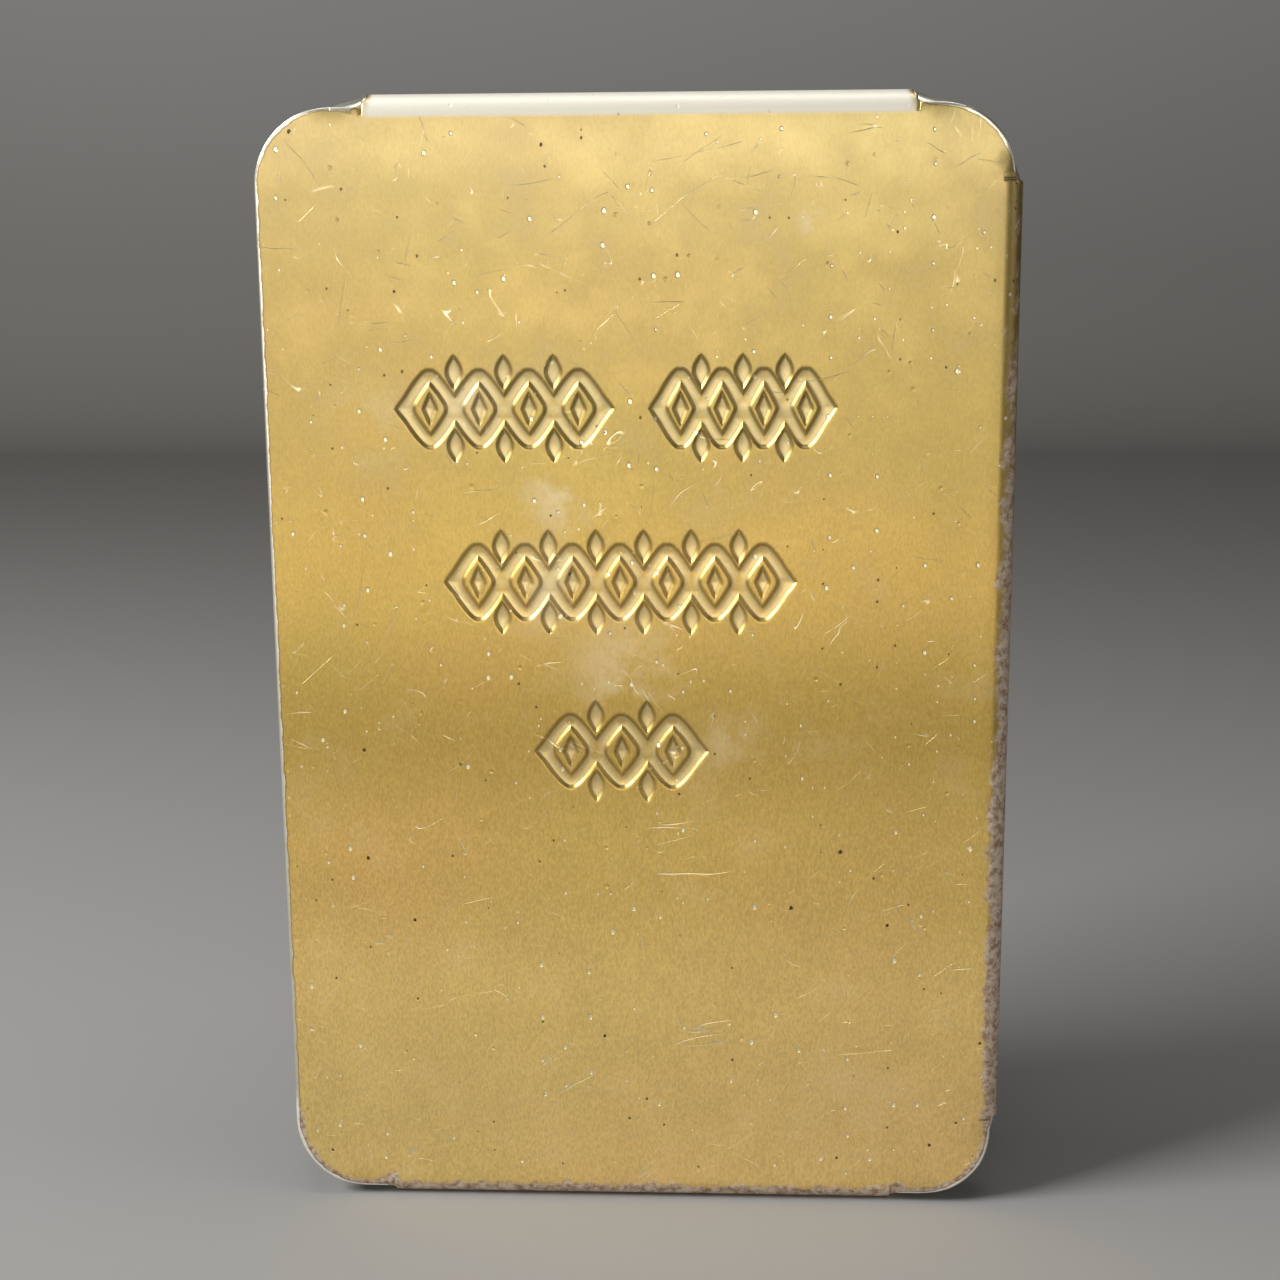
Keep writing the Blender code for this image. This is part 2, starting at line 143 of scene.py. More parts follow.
def smooth(obj, degrees=40):
    obj.data.shade_smooth()
    obj.data.set_sharp_from_angle(angle=math.radians(degrees))


plate_low, plate_high = box_mm("shield_plate")
print("shield plate, mm:", [round(value, 2) for value in plate_low + plate_high])


# %% [markdown]
# ## Camera, floor and light
#
# The view is from a little right of the middle, level with the top of the book, looking slightly
# down. A long-ish lens keeps the plate's sides nearly parallel. The floor and the wall behind it are
# plain grey paper with painted shade, darker towards the back and paler up the wall. Soft area
# lights and a dim world light them. The plate is a satin mirror, so what it shows is mostly what
# stands in front of it: the lights are placed for their reflections.

# %% Camera
CAMERA_LENS = 61.9
CAMERA_PLACE = (11.2, -211.5, 103.6)
CAMERA_PITCH, CAMERA_YAW, CAMERA_ROLL = 12.76, 3.02, -0.52  # degrees: down, to the left, leaning

camera_data = bpy.data.cameras.new("camera")
camera_data.lens = CAMERA_LENS
camera_data.clip_start = 0.01
camera = new_object("camera", camera_data)
turn = (
    Matrix.Rotation(math.radians(CAMERA_YAW), 4, "Z")
    @ Matrix.Rotation(math.radians(90 - CAMERA_PITCH), 4, "X")
    @ Matrix.Rotation(math.radians(CAMERA_ROLL), 4, "Z")
)
camera.matrix_world = Matrix.Translation(Vector(CAMERA_PLACE) * MM) @ turn
bpy.context.scene.camera = camera
print("camera distance, mm:", round(-CAMERA_PLACE[1] + plate_low[1], 1))

# %% Floor and wall
FLOOR_SIZE = 4000.0
WALL_DISTANCE = 590.0
COVE_RADIUS = 60.0


def cove_section(steps=12):
    """(depth, height) along the floor, up the cove and up the wall."""
    points = [(-FLOOR_SIZE / 2, 0.0)]
    for step in range(steps + 1):
        angle = math.pi / 2 * step / steps
        depth = WALL_DISTANCE - COVE_RADIUS + COVE_RADIUS * math.sin(angle)
        points.append((depth, COVE_RADIUS * (1 - math.cos(angle))))
    return points + [(WALL_DISTANCE, FLOOR_SIZE / 2)]


section = cove_section()
points = [(side * FLOOR_SIZE / 2, y, z) for y, z in section for side in (-1, 1)]
faces = [(2 * i, 2 * i + 1, 2 * i + 3, 2 * i + 2) for i in range(len(section) - 1)]
studio = object_from("studio_sweep", points, faces)
studio.data.shade_smooth()
paper, put, shader, mm = new_material("matt grey studio paper")
axes = put("SeparateXYZ", {"Vector": mm})
# Painted shade: the paper is darker towards the back and paler up the wall, in place of the lights'
# falloff.
far = put("MapRange", [axes.outputs["Y"], 0, 500], **SMOOTHSTEP)
high = put("MapRange", [axes.outputs["Z"], 0, 160])
shade = put("Mix", {"Factor": far, "A": "#a4a3a1", "B": "#8e8c88"}, **COLOUR)
shade = put("Mix", {"Factor": high, "A": shade, "B": "#adacaa"}, **COLOUR)
connect(shader, Base_Color=shade)
shader.inputs["Roughness"].default_value = 0.9
studio.data.materials.append(paper)

# %% Lights
LIGHTS = (
    # name, place, point it faces, width, height, watts, colour
    ("window", (-430, -200, 400), (0, 0, 30), 240, 240, 3.3, "#ffffff"),
    ("front panel", (-40, -640, 105), (0, 0, 80), 460, 200, 1.0, "#fffaf2"),
    ("overhead strip", (0, -20, 300), (0, -8, 100), 200, 70, 0.15, "#ffffff"),
    ("side card", (520, -240, 200), (0, 0, 60), 260, 360, 0.2, "#f7f2f4"),
)
for name, place, target, width, height, watts, colour in LIGHTS:
    lamp = bpy.data.lights.new(name, "AREA")
    lamp.shape = "RECTANGLE"
    lamp.size, lamp.size_y = width * MM, height * MM
    lamp.energy = watts
    lamp.color = linear(colour)[:3]
    holder = new_object(name, lamp)
    aim = (Vector(target) - Vector(place)).to_track_quat("-Z", "Y")
    holder.matrix_world = Matrix.Translation(Vector(place) * MM) @ aim.to_matrix().to_4x4()
world = bpy.data.worlds.new("studio")
world.use_nodes = True
world.node_tree.nodes["Background"].inputs["Color"].default_value = linear("#bcbcba")
world.node_tree.nodes["Background"].inputs["Strength"].default_value = 0.14
bpy.context.scene.world = world
bpy.context.scene.view_settings.view_transform = "Standard"
print("lights:", ", ".join(light[0] for light in LIGHTS))


# %% [markdown]
# ## The shield plate
#
# The real plate is cut flat from 0.8 mm sheet, stamped, lacquered, and then folded over the board.
# It is made the same way here. The outline of the blank, the bend lines and the edges of the stamped
# ornament are drawn flat, and one triangulation fills them, dense only where there is shape. Each
# point's depth then comes from rules: a softened rim, the stamp's sloped walls, a few dents. Last,
# every point goes through one fold rule, which rolls the tabs round their two bends.

# %% Sizes of the blank
SHEET = 0.8
BEND_RADIUS = 1.8
TAB_DEPTH = 1.2
LIP_LENGTH = 3.2
LIP_CHAMFER = 1.0
CORNER_RADIUS = 7.3
RELIEF = 0.1  # the slit at each end of a tab, where the sheet parts as it bends
RIM = 0.22  # radius of the front edge, which the blanking die rounds over
HEAD_STEP, SIDE_STEP, TAIL_STEP = 1.0, 0.6, 0.75
BEND_STEPS = 12
POINT_SPACING = 1.1
QUARTER = BEND_RADIUS * math.pi / 2
TAB_RUN = 2 * QUARTER + TAB_DEPTH + LIP_LENGTH
left, front, tail = plate_low
right, _, head = plate_high
fold_side, fold_head, fold_tail = right - BEND_RADIUS, head - BEND_RADIUS, tail + BEND_RADIUS
head_tab = (left + 10.1, left + 60.3)
side_tab = (9.0, 100.0)
tail_tab = (left + 9.7, left + 59.5)
bends = [QUARTER * step / BEND_STEPS for step in range(BEND_STEPS + 1)]
bends += [QUARTER + TAB_DEPTH + distance for distance in bends]
print("blank reaches", round(TAB_RUN, 2), "mm past each fold line")


# %% Outline of the blank
def arc(centre_x, centre_z, radius, start, stop, steps=20):
    points = []
    for step in range(steps + 1):
        angle = math.radians(start + (stop - start) * step / steps)
        points.append((centre_x + radius * math.cos(angle), centre_z + radius * math.sin(angle)))
    return points


def tab(start, stop):
    """One tab as (place along the edge, distance past the fold), with a point at every bend line."""
    step = math.copysign(LIP_CHAMFER, stop - start)
    rise = [(start, distance) for distance in bends]
    end = [(start, TAB_RUN - LIP_CHAMFER), (start + step, TAB_RUN)]
    end += [(stop - step, TAB_RUN), (stop, TAB_RUN - LIP_CHAMFER)]
    return rise + end + [(stop, distance) for distance in reversed(bends)]


def subdivided(loop, spacing):
    """A closed loop with points added, so that no side is longer than the spacing."""
    points = []
    for start, stop in zip(loop, loop[1:] + loop[:1]):
        parts = max(1, math.ceil(math.dist(start, stop) / spacing))
        for part in range(parts):
            share = part / parts
            points.append(tuple(a + (b - a) * share for a, b in zip(start, stop)))
    return points


def blank_outline():
    """Anticlockwise seen from the front, from the right-hand end of the top right corner."""
    side, top, bottom = right - SIDE_STEP, head - HEAD_STEP, tail + TAIL_STEP
    radius = CORNER_RADIUS
    outline = arc(side - radius, top - radius, radius, 0, 90)
    outline += [(head_tab[1] + RELIEF, top), (head_tab[1] + RELIEF, fold_head)]
    outline += [(x, fold_head + past) for x, past in tab(head_tab[1], head_tab[0])]
    outline += [(head_tab[0] - RELIEF, fold_head), (head_tab[0] - RELIEF, top)]
    outline += arc(left + radius, top - radius, radius, 90, 180)
    outline += arc(left + radius, bottom + radius, radius, 180, 270)
    outline += [(tail_tab[0] - RELIEF, bottom), (tail_tab[0] - RELIEF, fold_tail)]
    outline += [(x, fold_tail - past) for x, past in tab(*tail_tab)]
    outline += [(tail_tab[1] + RELIEF, fold_tail), (tail_tab[1] + RELIEF, bottom)]
    outline += arc(side - radius, bottom + radius, radius, 270, 360)
    outline += [(side, side_tab[0] - RELIEF), (fold_side, side_tab[0] - RELIEF)]
    outline += [(fold_side + past, z) for z, past in tab(*side_tab)]
    outline += [(fold_side, side_tab[1] + RELIEF), (side, side_tab[1] + RELIEF)]
    return subdivided(outline, POINT_SPACING)


outline = blank_outline()
print("blank outline:", len(outline), "points")


# %% [markdown]
# The stamped device is three rows of a braided chain: two strokes swing to and fro and cross, with a
# lozenge in every eye and a leaf over and under every crossing. Each row is as wide as the maker's
# row, and its strokes are as heavy. A row is drawn as closed loops with the recess on their left.

# %% The stamped rows
ROWS = (
    # middle height, then the start and end of each chain with its number of eyes
    (79.5, ((-22.1, -1.8, 4), (1.6, 18.8, 4))),
    (63.1, ((-17.9, 15.2, 7),)),
    (46.6, ((-9.6, 6.9, 3),)),
)
CHAIN_SWING, CHAIN_STROKE, CHAIN_POINT, CHAIN_BOW = 3.0, 1.15, 0.9, 1.35
EYE_STEPS = 16
STAMP_SPACING = 0.28  # between the points along a stroke's edge
LOZENGE = (0.62, 1.45)
LEAF = (1.95, 4.9, 0.68)  # foot, tip and half width


def strand(share, pitch, side):
    """Height of the outer (side 1) or inner (side -1) edge of a strand, part-way along an eye."""
    across = 2 * share - 1
    height = CHAIN_SWING * (1 - abs(across) ** CHAIN_BOW)
    slope = CHAIN_SWING * CHAIN_BOW * abs(across) ** (CHAIN_BOW - 1) * 2 / pitch
    return height + side * CHAIN_STROKE / 2 * math.hypot(1, slope)


def mirrored_loop(upper):
    """A loop from its upper edge, given from right to left, and its reflection below."""
    return upper + [(x, -z) for x, z in reversed(upper) if abs(z) > 1e-6]


def chain_loops(start, stop, eyes):
    pitch = (stop - start - 2 * CHAIN_POINT) / eyes
    first = start + CHAIN_POINT
    upper = [(stop, 0.0)]
    for step in range(eyes * EYE_STEPS, -1, -1):
        share = step % EYE_STEPS / EYE_STEPS
        upper.append((first + pitch * step / EYE_STEPS, strand(share, pitch, 1)))
    loops = [mirrored_loop(upper + [(start, 0.0)])]
    for eye in range(eyes):
        shares = [step / EYE_STEPS for step in range(EYE_STEPS + 1)]
        inner = [(share, strand(share, pitch, -1)) for share in shares]
        inner = [(first + pitch * (eye + share), height) for share, height in inner if height > 0.1]
        ends = (inner[0][0] - 0.06, 0.0), (inner[-1][0] + 0.06, 0.0)
        loops.append(mirrored_loop([ends[0]] + inner + [ends[1]]))
        middle = first + pitch * (eye + 0.5)
        wide, tall = LOZENGE
        loops.append(mirrored_loop([(middle + wide, 0), (middle, tall), (middle - wide, 0)]))
    foot, tip, half = LEAF
    for crossing in range(1, eyes):
        middle = first + pitch * crossing
        sides = [(math.sin(math.pi * step / 10), foot + (tip - foot) * step / 10) for step in range(11)]
        right_side = [(middle + half * bulge, height) for bulge, height in sides]
        left_side = [(middle - half * bulge, height) for bulge, height in reversed(sides[1:-1])]
        leaf = right_side + left_side
        loops += [leaf, [(x, -z) for x, z in reversed(leaf)]]
    return loops


stamp_loops = []
for height, chains in ROWS:
    for chain in chains:
        for loop in chain_loops(*chain):
            raised = [(x, z + height) for x, z in loop]
            stamp_loops.append(subdivided(raised, STAMP_SPACING))
print("stamped loops:", len(stamp_loops), "with", sum(map(len, stamp_loops)), "points")


# %% Distances, insets and depths
def inset(loop, distance):
    """The loop moved to its left by a distance, with mitred corners."""
    points = np.array(loop)
    ahead = np.roll(points, -1, axis=0) - points
    ahead /= np.linalg.norm(ahead, axis=1, keepdims=True)
    normal = np.stack([-ahead[:, 1], ahead[:, 0]], axis=1)
    before = np.roll(normal, 1, axis=0)
    spread = np.maximum(1 + (normal * before).sum(axis=1, keepdims=True), 0.35)
    return points + (normal + before) / spread * distance


def distance_inside(points, loops):
    """Distance of each point from the nearest loop: positive inside an odd number of loops."""
    nearest = np.full(len(points), 1e9)
    inside = np.zeros(len(points), bool)
    px, pz = points[:, 0], points[:, 1]
    for loop in loops:
        starts = np.array(loop)
        for (ax, az), (bx, bz) in zip(starts, np.roll(starts, -1, axis=0)):
            dx, dz = bx - ax, bz - az
            share = np.clip(((px - ax) * dx + (pz - az) * dz) / (dx * dx + dz * dz), 0, 1)
            nearest = np.minimum(nearest, np.hypot(px - ax - share * dx, pz - az - share * dz))
            if az != bz:
                spans = (az > pz) != (bz > pz)
                inside ^= spans & (px < ax + (pz - az) * dx / dz)
    return np.where(inside, nearest, -nearest)


STAMP_DEPTH = 0.28
STAMP_WALL = 0.21  # half the width of the sloped wall


def stamp_depth(distance):
    share = np.clip((distance + STAMP_WALL) / (2 * STAMP_WALL), 0, 1)
    return STAMP_DEPTH * share * share * (3 - 2 * share)


def rim_depth(distance):
    inwards = np.clip(RIM - distance, 0, RIM)
    return RIM - np.sqrt(RIM * RIM - inwards * inwards)


# %% [markdown]
# The triangulation is a constrained Delaunay one: it keeps every drawn line as an edge and makes the
# roundest triangles that it can between them. Rings beside each loop give the sloped walls and the
# rim their own rows of faces, and a loose lattice of points lets the sheet bow a little elsewhere.

# %% Flat triangulation
STAMP_RINGS = (-0.36, -0.21, -0.13, -0.05, 0.05, 0.13, 0.21)
RIM_RINGS = [0.0] + [RIM * (1 - math.sin(math.radians(angle))) for angle in (60, 35, 15, 0)] + [0.4]
DENTS = 90
DENT_STEPS, DENT_RINGS = 8, (0.5, 1.0, 1.5)
DENT_SPACING, DENT_RADIUS, DENT_DEPTH = 1.6, (0.14, 0.34), (0.015, 0.05)
# Room that dents leave round the stamp, and that the lattice leaves at the rim and the stamp
DENT_ROOM, RIM_ROOM, STAMP_ROOM = 1.0, 0.8, 0.7


def fill(loops, lines, lattice):
    """Points and triangles, anticlockwise, of everything inside the first loop."""
    points, edges = [], []
    for closed, chains in ((True, loops), (False, lines)):
        for chain in chains:
            count, start = len(chain), len(points)
            points += [Vector((x, z)) for x, z in chain]
            sides = count if closed else count - 1
            edges += [(start + i, start + (i + 1) % count) for i in range(sides)]
    points += [Vector((x, z)) for x, z in lattice]
    places, _, triangles, *_ = delaunay_2d_cdt(points, edges, [], 1, 1e-5, True)
    return np.array([tuple(place) for place in places]), triangles


def straight(start, stop):
    parts = math.ceil(math.dist(start, stop) / POINT_SPACING)
    return [tuple(a + (b - a) * part / parts for a, b in zip(start, stop)) for part in range(parts + 1)]


bend_lines = [straight(*((x, fold_head + past) for x in head_tab)) for past in bends]
bend_lines += [straight(*((x, fold_tail - past) for x in tail_tab)) for past in bends]
bend_lines += [straight(*((fold_side + past, z) for z in side_tab)) for past in bends]

draw = random.Random(7)
dents = []
while len(dents) < DENTS:
    place = draw.uniform(left + 3, right - 4), draw.uniform(tail + 3, head - 5)
    if all(math.dist(place, other[:2]) > DENT_SPACING for other in dents):
        dents.append((*place, draw.uniform(*DENT_RADIUS), draw.uniform(*DENT_DEPTH)))
stamp_points = np.array([point for loop in stamp_loops for point in loop])
dents = [dent for dent in dents if np.hypot(*(stamp_points - dent[:2]).T).min() > DENT_ROOM]

rows = np.arange(fold_tail + 0.6, fold_head - 0.5, POINT_SPACING)
columns = np.arange(left + 0.9, fold_side - 0.5, POINT_SPACING)
shifts = [POINT_SPACING / 2 * (row % 2) for row in range(len(rows))]
lattice = np.array([(x + shift, z) for shift, z in zip(shifts, rows) for x in columns])
lattice = lattice[distance_inside(lattice, [outline]) > RIM_ROOM]
clear = np.array([np.hypot(*(stamp_points - point).T).min() for point in lattice])
lattice = lattice[(clear > STAMP_ROOM) & (lattice[:, 0] < fold_side - 0.5)]
for x, z, radius, _ in dents:
    lattice = lattice[np.hypot(lattice[:, 0] - x, lattice[:, 1] - z) > 2.2 * radius + 0.15]
dent_points = []
for x, z, radius, _ in dents:
    dent_points.append((x, z))
    for share in DENT_RINGS:
        for step in range(DENT_STEPS):
            angle, reach = 2 * math.pi * (step + share) / DENT_STEPS, share * radius
            dent_points.append((x + reach * math.cos(angle), z + reach * math.sin(angle)))

rings = [inset(outline, distance) for distance in RIM_RINGS]
stamp_rings = [inset(loop, distance) for loop in stamp_loops for distance in STAMP_RINGS]
flat, front_faces = fill(rings + stamp_rings, bend_lines, lattice.tolist() + dent_points)
print("front face:", len(flat), "points,", len(front_faces), "triangles,", len(dents), "dents")


# %% [markdown]
# A sheet that is clasped at three edges isn't quite flat. It stands a little proud in the middle,
# and years in a breast pocket have bowed it, so its reflections are not those of a flat mirror.

# %% Depth of every point and the fold rule
BOW_EDGE, BOW_WAVE = 0.14, 0.03
LIP_RAISED = 0.22  # a dent's raised lip, as a share of its depth


def sheet_bow(x, z):
    """A slow, shallow wave that dies away at the bend lines."""
    across = np.clip((x - left) / (fold_side - left), 0, 1)
    up = np.clip((z - fold_tail) / (fold_head - fold_tail), 0, 1)
    ease = np.sin(math.pi * across) * np.sin(math.pi * up)
    wave = np.sin(0.13 * x + 0.4) * np.cos(0.083 * z + 1.1) + 0.5 * np.sin(0.21 * z - 0.1 * x)
    return BOW_EDGE * (1 - ease) * np.minimum(1, 6 * ease + 0.2) * 0.5 + BOW_WAVE * wave * ease


def fold(x, z, depth):
    """Where a point of the flat blank goes, as x, y and z, once the tabs are bent."""
    place = np.stack([x, front + depth, z], axis=1)
    tabs = (
        # distance past the fold line, the axis it runs along, the fold's place, and which way
        (x - fold_side, 0, fold_side, 1),
        (z - fold_head, 2, fold_head, 1),
        (fold_tail - z, 2, fold_tail, -1),
    )
    for past, axis, line, sense in tabs:
        radius = BEND_RADIUS - depth
        first = np.clip(past, 0, QUARTER) / BEND_RADIUS
        deeper = np.clip(past - QUARTER, 0, TAB_DEPTH)
        second = np.clip(past - QUARTER - TAB_DEPTH, 0, QUARTER) / BEND_RADIUS
        beyond = np.maximum(past - 2 * QUARTER - TAB_DEPTH, 0)
        out = radius * np.sin(first) * np.cos(second) - beyond
        back = BEND_RADIUS - radius * np.cos(first) + deeper + radius * np.sin(second)
        bent = past > 0
        place[bent, axis] = line + sense * out[bent]
        place[bent, 1] = front + back[bent]
    return place


x, z = flat.T
depth = rim_depth(distance_inside(flat, [outline])) + stamp_depth(distance_inside(flat, stamp_loops))
for dent_x, dent_z, radius, deep in dents:
    reach = np.hypot(x - dent_x, z - dent_z) / radius
    bowl = np.clip(1 - reach, 0, 1) ** 1.5
    lip = np.clip(1 - np.abs(reach - 1.15) / 0.4, 0, 1)
    depth += deep * (bowl - LIP_RAISED * lip)
depth += sheet_bow(x, z)
front_points = fold(x, z, depth)

back_flat, back_faces = fill([outline], bend_lines, [])
back_depth = SHEET + sheet_bow(*back_flat.T)
back_points = fold(*back_flat.T, back_depth)
print("deepest stamp, mm:", round(float(depth.max()), 3), "back face:", len(back_faces), "triangles")

# %% The plate's mesh
SLIT_LIFT, SLIT_REACH = 0.6, 0.8
FOOT_PLACE, FOOT_REACH = 0.17, 0.14  # the foot of the stamp's wall, which is painted paler


def matching(points, loop):
    """The number of the point that lies at each place of the loop."""
    return [int(np.hypot(*(points - place).T).argmin()) for place in loop]


rim, back_rim = matching(flat, outline), matching(back_flat, outline)
offset = len(front_points)
wall_faces = []
for i in range(len(rim)):
    j = (i + 1) % len(rim)
    wall_faces.append((rim[i], offset + back_rim[i], offset + back_rim[j], rim[j]))
faces = [tuple(face) for face in front_faces]
faces += [tuple(offset + corner for corner in reversed(face)) for face in back_faces]
plate = object_from("gilt_shield_plate", list(front_points) + list(back_points), faces + wall_faces)
smooth(plate, 35)
from_edge = np.concatenate([distance_inside(flat, [outline]), np.zeros(len(back_flat))])
slits = [(x, z) for x in head_tab for z in (head - HEAD_STEP, fold_head)]
slits += [(x, z) for x in tail_tab for z in (tail + TAIL_STEP, fold_tail)]
slits += [(x, z) for z in side_tab for x in (right - SIDE_STEP, fold_side)]
for x, z in slits:  # beside a slit no steel shows, so its points count as far from the edge
    away = np.hypot(flat[:, 0] - x, flat[:, 1] - z)
    from_edge[: len(flat)] += SLIT_LIFT * np.clip(1.1 - away / SLIT_REACH, 0, 1)
from_stamp = np.concatenate([distance_inside(flat, stamp_loops), np.full(len(back_flat), -9.0)])
stamp_foot = np.clip(1 - np.abs(from_stamp - FOOT_PLACE) / FOOT_REACH, 0, 1)
for name, values in (("from_edge", from_edge), ("stamp_foot", stamp_foot)):
    attribute = plate.data.attributes.new(name, "FLOAT", "POINT")
    attribute.data.foreach_set("value", values.astype(np.float32))
print("plate faces:", len(plate.data.polygons))
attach(plate, "front_cover")
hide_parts("shield_plate")


# %% [markdown]
# ## The plate's finish
#
# The finish is a gold-tinted lacquer over bright rolled steel, rubbed in a pocket for years. Tinted
# lacquer over metal looks like a metal of that colour, a little less sharp, so the shader is
# metallic with a thin clear coat. Layers go over it in the order in which life put them there: slow
# changes in the lacquer's thickness, haze where cloth has rubbed it, pinholes and specks, hairline
# scratches, brown tarnish along the bends, and bare steel on the cut edges. Light is painted in as
# well: light and shade by height, pale glints on tiny dents, a near-white rim, and a highlight on
# the head tab's bend.


# %% Lacquer: tone, haze and specks
gilt, put, shader, mm = new_material("gold-tinted lacquer over rolled steel")
shader.inputs["Coat Weight"].default_value = 0.3
shader.inputs["Coat Roughness"].default_value = 0.25
axes = put("SeparateXYZ", {"Vector": mm})
across, up = axes.outputs["X"], axes.outputs["Z"]
drift = put("TexNoise", {"Vector": mm, "Scale": 1 / 26, "Detail": 2})
clouds = put("TexNoise", {"Vector": mm, "Scale": 1 / 6, "Detail": 5, "Roughness": 0.62})
tone = put("MapRange", [drift, 0.35, 0.68])
colour = put("Mix", {"Factor": tone, "A": "#fbe495", "B": "#ffe298"}, **COLOUR)
PAINTED_LIGHT_BY_HEIGHT = (
    # height in mm and the painted light and shade there, palest near the bottom
    (7, "#fdf5f0"),
    (21, "#fef4e8"),
    (35, "#e8dac3"),
    (49, "#c6ba98"),
    (63, "#d8ccad"),
    (77, "#c3bca4"),
    (91, "#bdb8a9"),
    (98, "#c2bfb9"),
    (104, "#cfced2"),
)
# Painted light and shade: the lacquer's colour is scaled by height, palest near the bottom and darker
# from the middle up.
for (low, low_painted_tint), (high, high_painted_tint) in zip(PAINTED_LIGHT_BY_HEIGHT, PAINTED_LIGHT_BY_HEIGHT[1:]):
    step = put("MapRange", [up, low, high], **SMOOTHSTEP)
    tint = low_painted_tint if low == PAINTED_LIGHT_BY_HEIGHT[0][0] else tint
    tint = put("Mix", {"Factor": step, "A": tint, "B": high_painted_tint}, **COLOUR)
colour = put("Mix", {"Factor": 1.0, "A": colour, "B": tint}, **COLOUR, blend_type="MULTIPLY")
upright = put("VectorMath", [mm, (1, 1, 0.45)], **TIMES)
grain = put("TexNoise", {"Vector": upright, "Scale": 1 / 0.2, "Detail": 3, "Roughness": 0.6})
contrast = put("MapRange", [up, 95, 30, 0.07, 0.17])
least = put("Math", [1.0, contrast], operation="SUBTRACT")
most = put("Math", [contrast, 0.6, 1.0], operation="MULTIPLY_ADD")
mottle = put("MapRange", [grain, 0.32, 0.68, least, most])
colour = put("VectorMath", {0: colour, "Scale": mottle.outputs[0]}, operation="SCALE")

RUBBED = (
    # across, up, reach and strength of the places that a pocket's seams have rubbed
    (17.4, 96.6, 3.2, 0.9),
    (-6.5, 71.5, 6.0, 0.65),
    (-9.5, 63.0, 7.0, 0.55),
    (-1.0, 54.5, 8.0, 0.5),
    (-15.5, 80.0, 4.5, 0.5),
    (9.0, 47.0, 6.0, 0.35),
    (-25.0, 78.0, 7.0, 0.3),
    (20.0, 11.0, 12.0, 0.25),
    (-18.0, 12.0, 10.0, 0.2),
)
rubbed = None
for x_mm, z_mm, reach, strength in RUBBED:
    away = put("VectorMath", [mm, (x_mm, front, z_mm)], operation="DISTANCE")
    spot = put("MapRange", [away, reach, 0.0, 0.0, strength], **SMOOTHSTEP)
    rubbed = put("Math", [rubbed, spot], **LARGER) if rubbed else spot
break_up = put("MapRange", [clouds, 0.42, 0.62], **SMOOTHSTEP)
general = put("MapRange", [clouds, 0.55, 0.8, 0.0, 0.2])
haze = put("Math", [rubbed, break_up], **TIMES)
haze = put("Math", [haze, general], **LARGER)
layers = [(haze, "#f1dfb6")]

# %% Specks, pinholes and painted glints
SPECKS_AND_GLINTS = (
    # spacing in mm, share of cells that hold one, radius in mm, colour, height in mm
    # The two pale rows are painted glints: tiny dents painted pale where they would catch the light.
    (1.3, 0.09, 0.11, "#fdeec2", -0.015),
    (2.3, 0.17, 0.21, "#fff3cf", -0.03),
    (1.7, 0.05, 0.12, "#7c6230", -0.02),
    (4.6, 0.08, 0.17, "#5d4821", -0.03),
)
near_face = put("MapRange", [axes.outputs["Y"], front + 3.2, front + 0.8])
on_face = put("CombineXYZ", {"X": across, "Y": up})
heights = []
for number, (spacing, share, radius, tint, height) in enumerate(SPECKS_AND_GLINTS):
    shifted = put("VectorMath", [on_face, (number * 7.3, number * 3.1, 0)], **PLUS)
    taller = put("VectorMath", [shifted, (1, 0.8, 1)], **TIMES)
    cells = put("TexVoronoi", {"Vector": taller, "Scale": 1 / spacing}, voronoi_dimensions="2D")
    chance = put("SeparateColor", {"Color": cells.outputs["Color"]})
    held = put("Math", [chance.outputs["Red"], share], operation="LESS_THAN")
    wide = radius / spacing
    size = put("MapRange", [chance.outputs["Green"], 0, 1, 0.4 * wide, wide])
    edge = put("Math", [cells, size], operation="SUBTRACT")
    speck_and_glint = put("MapRange", [edge, 0.25 * wide, -0.25 * wide], **SMOOTHSTEP)
    for mask in (held, near_face):
        speck_and_glint = put("Math", [speck_and_glint, mask], **TIMES)
    layers.append((speck_and_glint, tint))
    heights.append(put("Math", [speck_and_glint, height], **TIMES))

# %% Hairline scratches
HAIRLINES = (
    # angle in degrees, spacing in mm, length in mm, width as a share, how much of it shows
    (14, 3.4, 16, 0.0035, 0.615),
    (-38, 3.4, 12, 0.0040, 0.605),
    (52, 3.0, 14, 0.0035, 0.605),
    (82, 4.2, 22, 0.0030, 0.60),
    (-70, 3.8, 16, 0.0035, 0.62),
)
lines = None
for number, (angle, spacing, length, width, hidden) in enumerate(HAIRLINES):
    turn = (0, math.radians(angle), 0)
    turned = [mm, (number * 11.0, 0, 0), turn, (spacing, 1000, length)]
    turned = put("Mapping", turned, vector_type="TEXTURE")
    wander = put("TexNoise", {"Vector": turned, "Scale": 1.0, "Detail": 1.5})
    middle = put("Math", [wander, 0.5], operation="SUBTRACT")
    middle = put("Math", [middle], operation="ABSOLUTE")
    line = put("MapRange", [middle, width, 0.0])
    gaps = put("TexNoise", {"Vector": turned, "Scale": 2.3, "Detail": 3})
    gaps = put("MapRange", [gaps, hidden - 0.03, hidden + 0.05])
    line = put("Math", [line, gaps], **TIMES)
    lines = put("Math", [lines, line], **LARGER) if lines else line
heights.append(put("Math", [lines, -0.012], **TIMES))

